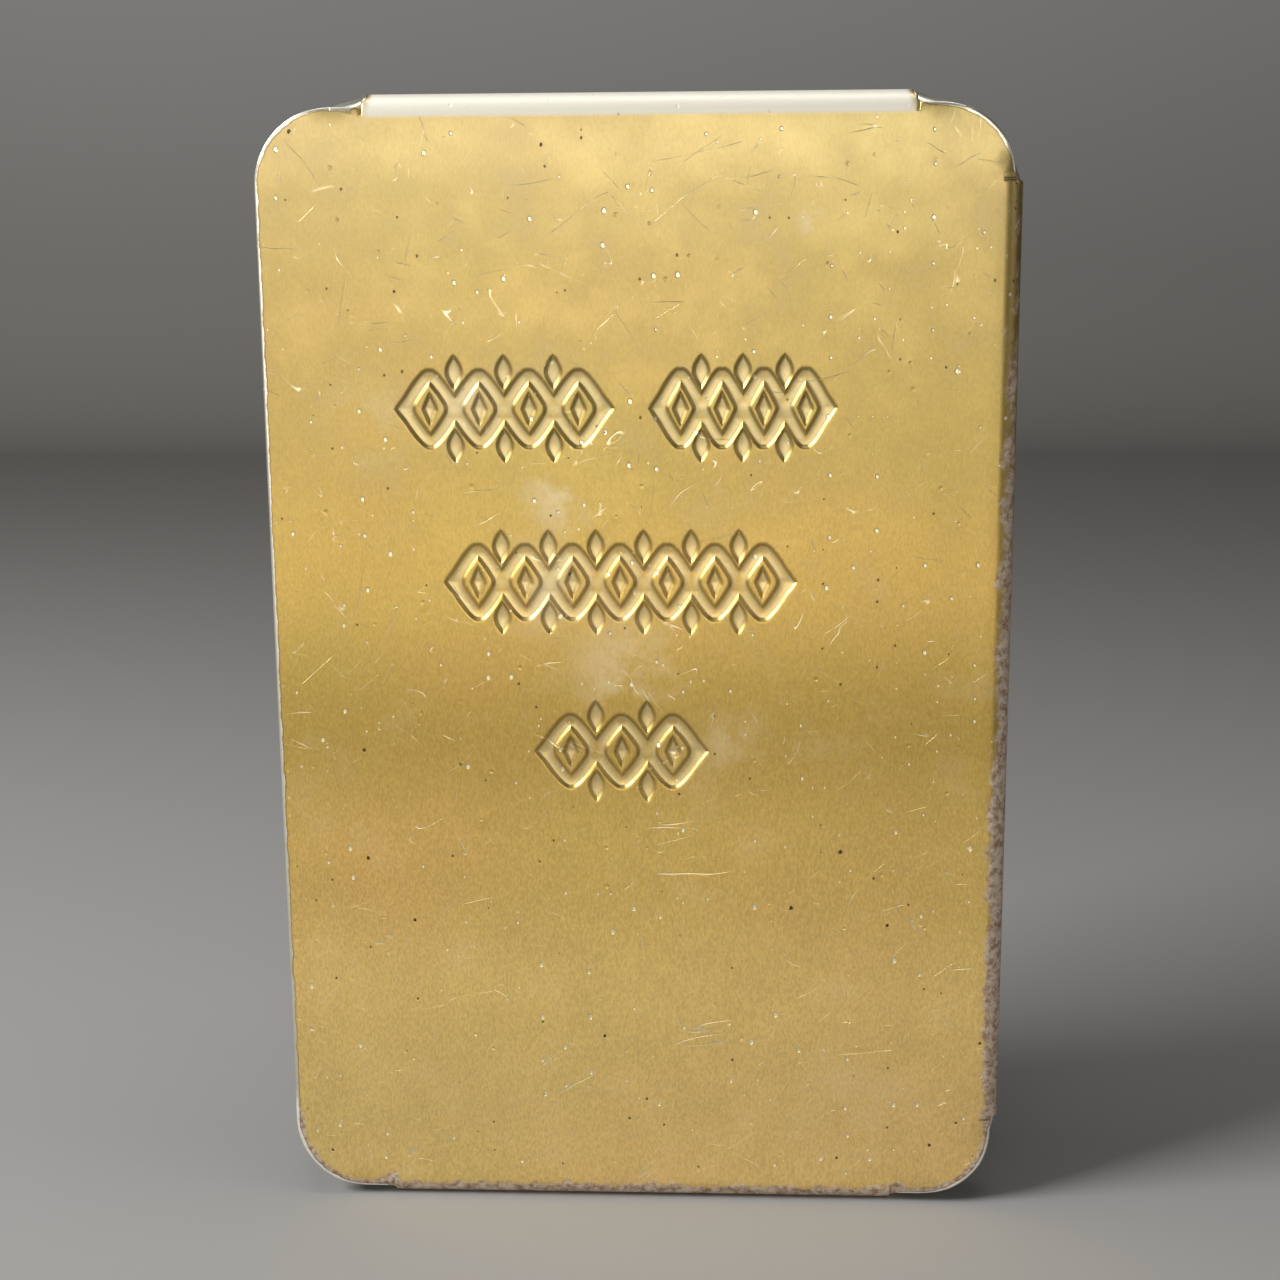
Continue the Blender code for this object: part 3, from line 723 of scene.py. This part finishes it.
# %% Tarnish on the bends, bare steel on the cut edges, and a painted highlight on the head tab's bend
blotches = put("TexNoise", {"Vector": mm, "Scale": 1 / 2.2, "Detail": 6, "Roughness": 0.68})
lower = put("MapRange", [up, 100, 38, 0.5, 0.95])
lower = put("Math", [lower, near_face], **TIMES)
WORN = (
    # coordinate, where wear starts and is whole, in mm
    (across, right - 3.4, right - 0.7, lower),
    (up, tail + 3.0, tail + 0.6, None),
)
worn = None
for place, start, whole, extent in WORN:
    reach = put("MapRange", [place, start, whole])
    if extent:
        reach = put("Math", [reach, extent], **TIMES)
    worn = put("Math", [worn, reach], **LARGER) if worn else reach
from_edge = put("Attribute", attribute_name="from_edge").outputs["Fac"]
low_down = put("MapRange", [up, 16, 6])
chipped = put("MapRange", [from_edge, 1.6, 0.3])
chipped = put("Math", [chipped, low_down], **TIMES)
worn = put("Math", [worn, chipped], **LARGER)
eaten = put("Math", [worn, blotches], **PLUS)
tarnish = put("MapRange", [eaten, 0.98, 1.22], **SMOOTHSTEP)
rust = put("TexNoise", {"Vector": mm, "Scale": 1 / 0.7, "Detail": 5, "Roughness": 0.7})
rust = put("MapRange", [rust, 0.42, 0.62])
brown = put("Mix", {"Factor": rust, "A": "#d9c7b2", "B": "#96775c"}, **COLOUR)
ragged = put("MapRange", [blotches, 0.3, 0.7, -0.12, 0.12])
ragged = put("Math", [from_edge, ragged], **PLUS)
# Bare steel on the cut edges, painted near white: partly worn-through lacquer, partly a painted
# highlight on the rounded rim.
bare_steel_and_highlight = put("MapRange", [ragged, 0.4, 0.3], **SMOOTHSTEP)
burr = put("MapRange", [ragged, 0.52, 0.42], **SMOOTHSTEP)
burr = put("Math", [burr, clouds], **TIMES)
# Painted highlight: the head tab's bend is painted near white and made less metallic, in place of the
# overhead light's reflection.
crown_highlight = put("MapRange", [up, head - 2.2, head - 1.75], **SMOOTHSTEP)
on_top = put("MapRange", [from_edge, 0.5, 1.0])
crown_highlight = put("Math", [crown_highlight, on_top], **TIMES)
tab_middle, tab_half = sum(head_tab) / 2, (head_tab[1] - head_tab[0]) / 2 - 0.1
along_tab = put("Math", [across, tab_middle, tab_half], operation="COMPARE")
crown_highlight = put("Math", [crown_highlight, along_tab], **TIMES)
bare_steel_and_highlight = put("Math", [bare_steel_and_highlight, crown_highlight], **LARGER)
in_stamp = put("Attribute", attribute_name="stamp_foot").outputs["Fac"]
# A paler band is painted all round the foot of the stamp's wall.
pale_foot = put("Math", [in_stamp, 0.4], **TIMES)
layers += [(lines, "#f4e6bd"), (tarnish, brown), (burr, "#5d4a26")]
layers += [(bare_steel_and_highlight, "#efeadb"), (pale_foot, "#fbefc2")]
for layer, tint in layers:
    colour = put("Mix", {"Factor": layer, "A": colour, "B": tint}, **COLOUR)

# %% Roughness and relief of the lacquer
rough = put("MapRange", [clouds, 0.3, 0.7, 0.38, 0.46])
for layer, value in ((haze, 0.5), (tarnish, 0.55), (bare_steel_and_highlight, 0.35), (lines, 0.3), (crown_highlight, 0.55)):
    rough = put("Mix", {"Factor": layer, "A": rough, "B": value}, data_type="FLOAT")
peel = put("TexNoise", {"Vector": mm, "Scale": 1 / 0.9, "Detail": 2})
heights.append(put("Math", [peel, 0.006], **TIMES))
heights.append(put("Math", [grain, 0.004], **TIMES))
rust_height = put("Math", [rust, tarnish], **TIMES)
heights.append(put("Math", [rust_height, -0.02], **TIMES))
relief = heights[0]
for layer in heights[1:]:
    relief = put("Math", [relief, layer], **PLUS)
bump = put("Bump", {"Height": relief, "Distance": MM, "Strength": 1.0})
dull = put("Math", [tarnish, crown_highlight], **LARGER)
metal = put("MapRange", {"Value": dull, "To Min": 1.0, "To Max": 0.3})
connect(shader, Base_Color=colour, Metallic=metal, Roughness=rough, Normal=bump)
plate.data.materials.append(gilt)
print("lacquer layers:", len(heights), "in relief")


# %% [markdown]
# ## Leatherette
#
# The boards and the spine wear leatherette: cotton cloth with a thick dark coating, embossed by a
# roller with a grain like pin-seal leather. Small round cells with soft valleys between them give
# that grain, so the pattern is a smooth Voronoi one, pulled about a little by noise. The coating is
# rubbed paler and smoother along the edges of the boards, where hands and pocket seams reach it.

# %% Dark grained leatherette
leatherette, put, shader, mm = new_material("embossed dark brown leatherette")
wobble = put("TexNoise", {"Vector": mm, "Scale": 1 / 1.6, "Detail": 2})
pull = put("VectorMath", {0: wobble.outputs["Color"], "Scale": 0.9}, operation="SCALE")
pulled = put("VectorMath", [mm, pull], **PLUS)
cells = {"Vector": pulled, "Scale": 1 / 0.75, "Smoothness": 0.35}
cells = put("TexVoronoi", cells, feature="SMOOTH_F1")
pebble = put("MapRange", [cells, 0.15, 0.7, 1, 0], **SMOOTHSTEP)
creases = put("TexNoise", {"Vector": pulled, "Scale": 1 / 4.5, "Detail": 5, "Roughness": 0.6})
fine = put("TexNoise", {"Vector": mm, "Scale": 1 / 0.16, "Detail": 2})
aged = put("TexNoise", {"Vector": mm, "Scale": 1 / 17, "Detail": 3})
aged = put("MapRange", [aged, 0.35, 0.65])
coat = put("Mix", {"Factor": aged, "A": "#2b1e19", "B": "#3a2a22"}, **COLOUR)
# Painted shade: the valleys between the grain's cells are painted near black.
valley_shade = put("MapRange", [pebble, 0.0, 0.5, 0.75, 0.0])
coat = put("Mix", {"Factor": valley_shade, "A": coat, "B": "#140d0b"}, **COLOUR)
axes = put("SeparateXYZ", {"Vector": mm})
back_low, back_high = box_mm("back_covering")
EDGES = (
    # coordinate and place of each rubbed edge
    (axes.outputs["X"], back_high[0]),
    (axes.outputs["X"], back_low[0]),
    (axes.outputs["Z"], back_high[2]),
    (axes.outputs["Z"], back_low[2] + 0.3),
)
rubbing = None
for place, edge in EDGES:
    near = put("Math", [place, edge], operation="SUBTRACT")
    near = put("Math", [near], operation="ABSOLUTE")
    near = put("MapRange", [near, 1.1, 0.1])
    rubbing = put("Math", [rubbing, near], **LARGER) if rubbing else near
rubbing = put("Math", [rubbing, creases], **PLUS)
rubbing = put("MapRange", [rubbing, 0.85, 1.3], **SMOOTHSTEP)
coat = put("Mix", {"Factor": rubbing, "A": coat, "B": "#7d6450"}, **COLOUR)
gloss = put("MapRange", [creases, 0.3, 0.7, 0.42, 0.6])
gloss = put("Mix", {"Factor": rubbing, "A": gloss, "B": 0.68}, data_type="FLOAT")
grain_height = put("Math", [pebble, 0.06], **TIMES)
crease_height = put("Math", [creases, 0.09], **TIMES)
fine_height = put("Math", [fine, 0.006], **TIMES)
relief = put("Math", [grain_height, crease_height], **PLUS)
relief = put("Math", [relief, fine_height], **PLUS)
bump = put("Bump", {"Height": relief, "Distance": MM})
connect(shader, Base_Color=coat, Roughness=gloss, Normal=bump)


# %% [markdown]
# ## Paper, board and linen
#
# The endpapers are a stout cream wove paper; the text is on thinner paper, browned at its trimmed
# edges by eighty years of air. Paper shows cloudy fibres and, here and there, a rust-coloured spot.
# The text paper also gets fine streaks along its edges, because each leaf aged a little differently.

# %% Wove endpaper and thin text paper
PAPERS = {
    # name: body colour, toned colour, edge width in mm, share of foxing
    "endpaper": ("stout cream wove paper", "#e6dbbd", "#cdb888", 7.0, 0.2),
    "text_paper": ("thin toned text paper", "#ded2b2", "#b99d6a", 2.0, 0.1),
}
papers = {}
leaf_low, leaf_high = box_mm("front_flyleaf")
for slot, (title, body, toned, edge_width, foxing) in PAPERS.items():
    papers[slot], put, shader, mm = new_material(title)
    axes = put("SeparateXYZ", {"Vector": mm})
    fibres = put("TexNoise", {"Vector": mm, "Scale": 1 / 0.5, "Detail": 6, "Roughness": 0.65})
    clouds = put("TexNoise", {"Vector": mm, "Scale": 1 / 14, "Detail": 4})
    near_edge = None
    for axis, edge, sign in (("X", leaf_high[0], -1), ("Z", leaf_high[2], -1), ("Z", leaf_low[2], 1)):
        reach = [axes.outputs[axis], edge + sign * edge_width, edge]
        reach = put("MapRange", reach, **SMOOTHSTEP)
        near_edge = put("Math", [near_edge, reach], **LARGER) if near_edge else reach
    toning = put("Math", [near_edge, clouds, -0.1], operation="MULTIPLY_ADD")
    toning = put("Math", [toning, near_edge], **PLUS)
    colour = put("Mix", {"Factor": toning, "A": body, "B": toned}, **COLOUR)
    cloudy = put("MapRange", [fibres, 0.3, 0.7, 0.93, 1.04])
    colour = put("VectorMath", {0: colour, "Scale": cloudy.outputs[0]}, operation="SCALE")
    leaves = put("VectorMath", [mm, (1 / 30, 1 / 0.09, 1 / 30)], **TIMES)
    streaks = put("TexNoise", {"Vector": leaves, "Scale": 1.0, "Detail": 2})
    streaks = put("MapRange", [streaks, 0.3, 0.7, 0.0, 0.55])
    streaks = put("Math", [streaks, near_edge], **TIMES)
    colour = put("Mix", {"Factor": streaks, "A": colour, "B": "#8d7147"}, **COLOUR)
    spots = put("TexVoronoi", {"Vector": mm, "Scale": 1 / 9.0})
    chance = put("SeparateColor", {"Color": spots.outputs["Color"]})
    held = put("Math", [chance.outputs["Red"], foxing], operation="LESS_THAN")
    ragged = put("Math", [fibres, 0.12, spots], operation="MULTIPLY_ADD")
    spot = put("MapRange", [ragged, 0.17, 0.08, 0.0, 0.4], **SMOOTHSTEP)
    spot = put("Math", [spot, held], **TIMES)
    colour = put("Mix", {"Factor": spot, "A": colour, "B": "#a06f3a"}, **COLOUR)
    height = put("Math", [fibres, 0.02], **TIMES)
    bump = put("Bump", {"Height": height, "Distance": MM})
    rough = put("MapRange", {"Value": fibres, "To Min": 0.75, "To Max": 0.95})
    connect(shader, Base_Color=colour, Roughness=rough, Normal=bump)
print("papers:", ", ".join(papers))

# %% Grey board
board, put, shader, mm = new_material("grey pressed binder's board")
pulp = put("TexNoise", {"Vector": mm, "Scale": 1 / 0.8, "Detail": 6, "Roughness": 0.7})
flecks = put("TexVoronoi", {"Vector": mm, "Scale": 1 / 1.1})
fleck = put("MapRange", [flecks, 0.14, 0.08])
layers = put("VectorMath", [mm, (1 / 9, 1 / 0.18, 1 / 9)], **TIMES)
layers = put("TexNoise", {"Vector": layers, "Scale": 1.0, "Detail": 1})
colour = put("Mix", {"Factor": pulp, "A": "#8c8473", "B": "#a89f8b"}, **COLOUR)
colour = put("Mix", {"Factor": fleck, "A": colour, "B": "#5d574b"}, **COLOUR)
height = put("Math", [pulp, layers], **PLUS)
height = put("Math", [height, 0.03], **TIMES)
bump = put("Bump", {"Height": height, "Distance": MM})
rough = put("MapRange", {"Value": pulp, "To Min": 0.8, "To Max": 0.98})
connect(shader, Base_Color=colour, Roughness=rough, Normal=bump)

# %% Unbleached linen, for tapes, mull and thread
linen, put, shader, mm = new_material("unbleached plain-weave linen")
THREAD_SPACING = 0.42
axes = put("SeparateXYZ", {"Vector": mm})
threads = []
for axis, other in (("Y", "Z"), ("Z", "Y")):
    phase = put("Math", [axes.outputs[axis], 2 * math.pi / THREAD_SPACING], **TIMES)
    over = put("Math", [axes.outputs[other], math.pi / THREAD_SPACING], **TIMES)
    phase = put("Math", [phase], operation="SINE")
    over = put("Math", [over], operation="COSINE")
    round_thread = put("Math", [over, 0.25, phase], operation="MULTIPLY_ADD")
    threads.append(round_thread)
weave = put("Math", [threads[0], threads[1]], **LARGER)
slub = put("TexNoise", {"Vector": mm, "Scale": 1 / 1.2, "Detail": 5, "Roughness": 0.7})
colour = put("Mix", {"Factor": slub, "A": "#cbbb97", "B": "#a8946b"}, **COLOUR)
# Painted shade: the gaps between the threads are painted dark.
weave_gap_shade = put("MapRange", [weave, 0.4, -0.2, 0.0, 0.6])
colour = put("Mix", {"Factor": weave_gap_shade, "A": colour, "B": "#6b5a3c"}, **COLOUR)
height = put("Math", [weave, slub], **PLUS)
height = put("Math", [height, 0.04], **TIMES)
bump = put("Bump", {"Height": height, "Distance": MM})
rough = put("MapRange", {"Value": slub, "To Min": 0.8, "To Max": 0.98})
connect(shader, Base_Color=colour, Roughness=rough, Normal=bump)

# %% Finishes for the pieces kept from the frame
FINISHES = {
    "leatherette": leatherette,
    "endpaper": papers["endpaper"],
    "text_paper": papers["text_paper"],
    "binders_board": board,
    "linen": linen,
    "gilt_steel": gilt,
}
for node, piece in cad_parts.items():
    for slot in piece.material_slots:
        slot.material = FINISHES[slot.material.name]
print("frame pieces finished:", len(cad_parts))


# %% [markdown]
# ## The gatherings
#
# The text is eight gatherings of thin leaves, folded at the spine. From the side, the fore-edge is a
# comb of leaf edges, none quite level with the next. A leaf repeats, so Geometry Nodes set it out:
# a line of points gets one leaf each, a seeded random shift makes the edges uneven, and the outer
# sheet wraps the fold. Real leaves are half as thick; these are as fine as a picture can show.

# %% One leaf and one folded sheet
LEAVES = 12
LEAF_THICKNESS = 0.045
LEAF_CORNER = 5.0
UNEVEN = 0.09


def leaf_outline(fold_x, fore_x, low_z, high_z, steps=6):
    points = arc(fore_x - LEAF_CORNER, high_z - LEAF_CORNER, LEAF_CORNER, 0, 90, steps)
    points += [(fold_x, high_z), (fold_x, low_z)]
    return points + arc(fore_x - LEAF_CORNER, low_z + LEAF_CORNER, LEAF_CORNER, 270, 360, steps)


def leaf_mesh(fold_x, fore_x, low_z, high_z):
    points = leaf_outline(fold_x, fore_x, low_z, high_z)
    count = len(points)
    places = [(x, y, z) for y in (-LEAF_THICKNESS / 2, LEAF_THICKNESS / 2) for x, z in points]
    faces = [tuple(range(count)), tuple(reversed(range(count, 2 * count)))]
    faces += [((i + 1) % count, i, count + i, count + (i + 1) % count) for i in range(count)]
    return places, faces


def folded_sheet(fold_x, fore_x, low_z, high_z, y_low, y_high, bends=6):
    """The outer sheet of a gathering, wrapped round its fold, as a thin closed shell."""
    radius, middle = (y_high - y_low) / 2, (y_low + y_high) / 2
    turns = [math.sin(math.radians(angle)) for angle in range(90, -15, -15)]
    straight_xs = [fore_x - LEAF_CORNER * (1 - turn) for turn in turns]
    path = [(x, y_low) for x in straight_xs]
    for step in range(bends + 1):
        angle = math.pi * step / bends
        path.append((fold_x + radius - radius * math.sin(angle), middle - radius * math.cos(angle)))
    path += [(x, y_high) for x in reversed(straight_xs)]
    points, faces = [], []
    for index, (x, y) in enumerate(path):
        before, after = path[max(index - 1, 0)], path[min(index + 1, len(path) - 1)]
        along = Vector((after[0] - before[0], after[1] - before[1])).normalized()
        inner = x - along.y * LEAF_THICKNESS, y + along.x * LEAF_THICKNESS
        reach = max(0.0, x - fore_x + LEAF_CORNER)
        cut = LEAF_CORNER - math.sqrt(max(0.0, LEAF_CORNER**2 - reach**2))
        low, high = low_z + cut, high_z - cut
        points += [(x, y, low), (x, y, high), (*inner, high), (*inner, low)]
    for index in range(len(path) - 1):
        near, far = 4 * index, 4 * index + 4
        for side in range(4):
            after = (side + 1) % 4
            faces.append((near + side, near + after, far + after, far + side))
    last = len(points) - 4
    return points, faces + [(3, 2, 1, 0), (last, last + 1, last + 2, last + 3)]


# %% The tree that stacks the leaves
def group_input(tree, name, kind, value=None):
    socket = tree.interface.new_socket(name, in_out="INPUT", socket_type=kind)
    if value is not None:
        socket.default_value = value
    return socket.identifier


def apply_tree(obj, tree, values):
    """Runs the tree on the object with its inputs set, and keeps the plain mesh that comes out."""
    modifier = obj.modifiers.new(tree.name, "NODES")
    modifier.node_group = tree
    for identifier, value in values.items():
        modifier[identifier] = value
    made = bpy.data.meshes.new_from_object(obj.evaluated_get(bpy.context.evaluated_depsgraph_get()))
    obj.modifiers.remove(modifier)
    obj.data = made
    return obj


stack = bpy.data.node_groups.new("stacked leaves", "GeometryNodeTree")
put = partial(add, stack)
group_input(stack, "Leaf", "NodeSocketGeometry")
stack_inputs = {
    "count": group_input(stack, "Leaves", "NodeSocketInt", LEAVES),
    "start": group_input(stack, "First leaf", "NodeSocketFloat"),
    "pitch": group_input(stack, "Leaf spacing", "NodeSocketFloat"),
    "uneven": group_input(stack, "Unevenness", "NodeSocketFloat"),
    "seed": group_input(stack, "Seed", "NodeSocketInt"),
    "paper": group_input(stack, "Paper", "NodeSocketMaterial"),
}
stack.interface.new_socket("Stack", in_out="OUTPUT", socket_type="NodeSocketGeometry")
given = put("NodeGroupInput").outputs
first = put("CombineXYZ", {"Y": given["First leaf"]})
spacing = put("CombineXYZ", {"Y": given["Leaf spacing"]})
line = {"Count": given["Leaves"], "Start Location": first, "Offset": spacing}
line = put("GeometryNodeMeshLine", line)
stacked = put("GeometryNodeInstanceOnPoints", {"Points": line, "Instance": given["Leaf"]})
reach = put("CombineXYZ", {"X": given["Unevenness"], "Z": given["Unevenness"]})
below = put("VectorMath", {0: reach, "Scale": -1.0}, operation="SCALE")
shift = {"Min": below, "Max": (0.0, 0.0, 0.0), "Seed": given["Seed"]}
shift = put("FunctionNodeRandomValue", shift, data_type="FLOAT_VECTOR")
moved = put("GeometryNodeTranslateInstances", {"Instances": stacked, "Translation": shift})
solid = put("GeometryNodeRealizeInstances", {"Geometry": moved})
finished = put("GeometryNodeSetMaterial", {"Geometry": solid, "Material": given["Paper"]})
put("NodeGroupOutput", {"Stack": finished})
print("tree:", stack.name, "with inputs", ", ".join(stack_inputs))

# %% Eight gatherings
for number in range(1, 9):
    node = f"gathering_{number:02d}"
    low, high = box_mm(node)
    fold_x, fore_x = low[0], high[0]
    half = (high[1] - low[1]) / 2
    places, faces = leaf_mesh(fold_x + half, fore_x, low[2] + UNEVEN, high[2])
    inner = object_from(f"{node}_leaves", places, faces)
    room = high[1] - low[1] - 2 * LEAF_THICKNESS
    pitch = room / (LEAVES + 1)
    values = {
        "count": LEAVES,
        "start": (low[1] + LEAF_THICKNESS + pitch) * MM,
        "pitch": pitch * MM,
        "uneven": UNEVEN * MM,
        "seed": number,
        "paper": papers["text_paper"],
    }
    apply_tree(inner, stack, {stack_inputs[name]: value for name, value in values.items()})
    places, faces = folded_sheet(fold_x, fore_x, low[2], high[2], low[1], high[1])
    sheet = object_from(f"{node}_outer_sheet", places, faces)
    sheet.data.materials.append(papers["text_paper"])
    smooth(sheet, 40)
    for piece in (inner, sheet):
        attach(piece, "book_block")
        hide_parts(node)
print("leaves:", 8 * (LEAVES + 2))


# %% [markdown]
# ## Headbands
#
# A headband is a cord sewn over with thread at each end of the spine. The wraps repeat along the
# cord, so a second tree sets a ring of thread at each point of the band's curve and leans it a
# little, the way a wound thread lies.

# %% Thread wound along a cord
WRAPS = 26
THREAD_RADIUS = 0.13

wound = bpy.data.node_groups.new("thread wound on a cord", "GeometryNodeTree")
put = partial(add, wound)
group_input(wound, "Path", "NodeSocketGeometry")
wound_inputs = {
    "wraps": group_input(wound, "Wraps", "NodeSocketInt", WRAPS),
    "cord": group_input(wound, "Cord radius", "NodeSocketFloat"),
    "thread": group_input(wound, "Thread radius", "NodeSocketFloat"),
    "seed": group_input(wound, "Seed", "NodeSocketInt"),
    "finish": group_input(wound, "Thread finish", "NodeSocketMaterial"),
}
wound.interface.new_socket("Band", in_out="OUTPUT", socket_type="NodeSocketGeometry")
given = put("NodeGroupInput").outputs
curve = put("GeometryNodeMeshToCurve", {"Mesh": given["Path"]})
core_ring, ring_path, ring_section = (
    put("GeometryNodeCurvePrimitiveCircle", {"Resolution": sides, "Radius": given[radius]})
    for sides, radius in ((10, "Cord radius"), (12, "Cord radius"), (5, "Thread radius"))
)
core = put("GeometryNodeCurveToMesh", {"Curve": curve, "Profile Curve": core_ring, "Fill Caps": True})
ring = put("GeometryNodeCurveToMesh", {"Curve": ring_path, "Profile Curve": ring_section})
points = put("GeometryNodeCurveToPoints", {"Curve": curve, "Count": given["Wraps"]}, mode="COUNT")
lean = put("FunctionNodeRandomValue", {2: 0.12, 3: 0.3, "Seed": given["Seed"]}, data_type="FLOAT")
lean = put("CombineXYZ", {"X": lean})
wraps = {"Points": points, "Instance": ring, "Rotation": points.outputs["Rotation"]}
wraps = put("GeometryNodeInstanceOnPoints", wraps)
leaning = put("GeometryNodeRotateInstances", {"Instances": wraps, "Rotation": lean})
both = put("GeometryNodeJoinGeometry")
for part in (core, leaning):
    wound.links.new(part.outputs[0], both.inputs[0])
solid = put("GeometryNodeRealizeInstances", {"Geometry": both})
finished = put("GeometryNodeSetMaterial", {"Geometry": solid, "Material": given["Thread finish"]})
shaded = put("GeometryNodeSetShadeSmooth", {"Geometry": finished})
put("NodeGroupOutput", {"Band": shaded})

for seed, node in enumerate(("headband", "tailband")):
    low, high = box_mm(node)
    radius = (high[2] - low[2]) / 2
    bulge = high[0] - low[0] - 2 * radius
    path = []
    for step in range(17):
        share = 2 * step / 16 - 1
        depth = (low[1] + high[1]) / 2 + share * ((high[1] - low[1]) / 2 - THREAD_RADIUS)
        path.append((low[0] + radius + bulge * share * share, depth, (low[2] + high[2]) / 2))
    mesh = bpy.data.meshes.new(node)
    mesh.from_pydata([tuple(v * MM for v in p) for p in path], [(i, i + 1) for i in range(16)], [])
    band = new_object(f"sewn_{node}", mesh)
    values = {
        "wraps": WRAPS,
        "cord": (radius - THREAD_RADIUS) * MM,
        "thread": THREAD_RADIUS * MM,
        "seed": seed,
        "finish": linen,
    }
    apply_tree(band, wound, {wound_inputs[name]: value for name, value in values.items()})
    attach(band, "book_block")
    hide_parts(node)
print("wraps on each band:", WRAPS)


# %% [markdown]
# ## The joints
#
# The leatherette runs on from each board to the spine. Over the joint it is only a narrow strip of
# soft cloth, which bends when the board opens. Each strip is a thin curved shell whose one long edge
# follows the spine and whose other edge follows the board.

# %% Two joint strips
STRIP_THICKNESS = 0.4
STRIP_START = 1.4  # from the spine's back to the strip's first edge
STRIP_TUCK = 0.25  # how far that edge lies under the spine's covering
STRIP_LAP = 0.3  # how far the other edge reaches over the board, and what each end is short of
STRIP_STEPS = 6
SKINS = {"front": -7.275, "back": 8.275}  # the middle of each board's covering


def bent_strip(name, path, low_z, high_z, thickness, rows=40):
    """A shell along a path of (x, y), with flat ends, its thickness on the path's left."""
    section = []
    for side in (0, 1):
        for index, (x, y) in enumerate(path):
            before, after = path[max(index - 1, 0)], path[min(index + 1, len(path) - 1)]
            along = Vector((after[0] - before[0], after[1] - before[1])).normalized()
            section.append((x - along.y * thickness * side, y + along.x * thickness * side))
    count = len(path)
    loop = section[:count] + section[:count - 1 : -1]
    points, faces = [], []
    for row in range(rows + 1):
        z = low_z + (high_z - low_z) * row / rows
        points += [(x, y, z) for x, y in loop]
    size = len(loop)
    for row in range(rows):
        for i in range(size):
            j = (i + 1) % size
            faces.append((row * size + i, row * size + j, (row + 1) * size + j, (row + 1) * size + i))
    faces += [tuple(reversed(range(size))), tuple(range(rows * size, (rows + 1) * size))]
    strip = object_from(name, points, faces)
    mesh = bmesh.new()
    mesh.from_mesh(strip.data)
    bmesh.ops.recalc_face_normals(mesh, faces=mesh.faces)
    mesh.to_mesh(strip.data)
    mesh.free()
    return strip


spine_low, spine_high = box_mm("spine_covering")
for side, end_y in (("front", spine_low[1]), ("back", spine_high[1])):
    cover_x = box_mm(f"{side}_covering")[0][0]
    spine_x, skin_y = spine_low[0] + STRIP_START, SKINS[side]
    start = Vector((spine_x, end_y - math.copysign(STRIP_TUCK, end_y)))
    bend = Vector((spine_x - 0.1, skin_y))
    stop = Vector((cover_x + STRIP_LAP, skin_y))
    path = []
    for step in range(STRIP_STEPS + 1):
        share = step / STRIP_STEPS
        point = (1 - share) ** 2 * start + 2 * share * (1 - share) * bend + share**2 * stop
        path.append(tuple(point))
    ends = spine_low[2] + STRIP_LAP, spine_high[2] - STRIP_LAP
    strip = bent_strip(f"{side}_joint_strip", path, *ends, STRIP_THICKNESS)
    strip.data.materials.append(leatherette)
    smooth(strip, 50)
    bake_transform(strip)
print("joint strips made")
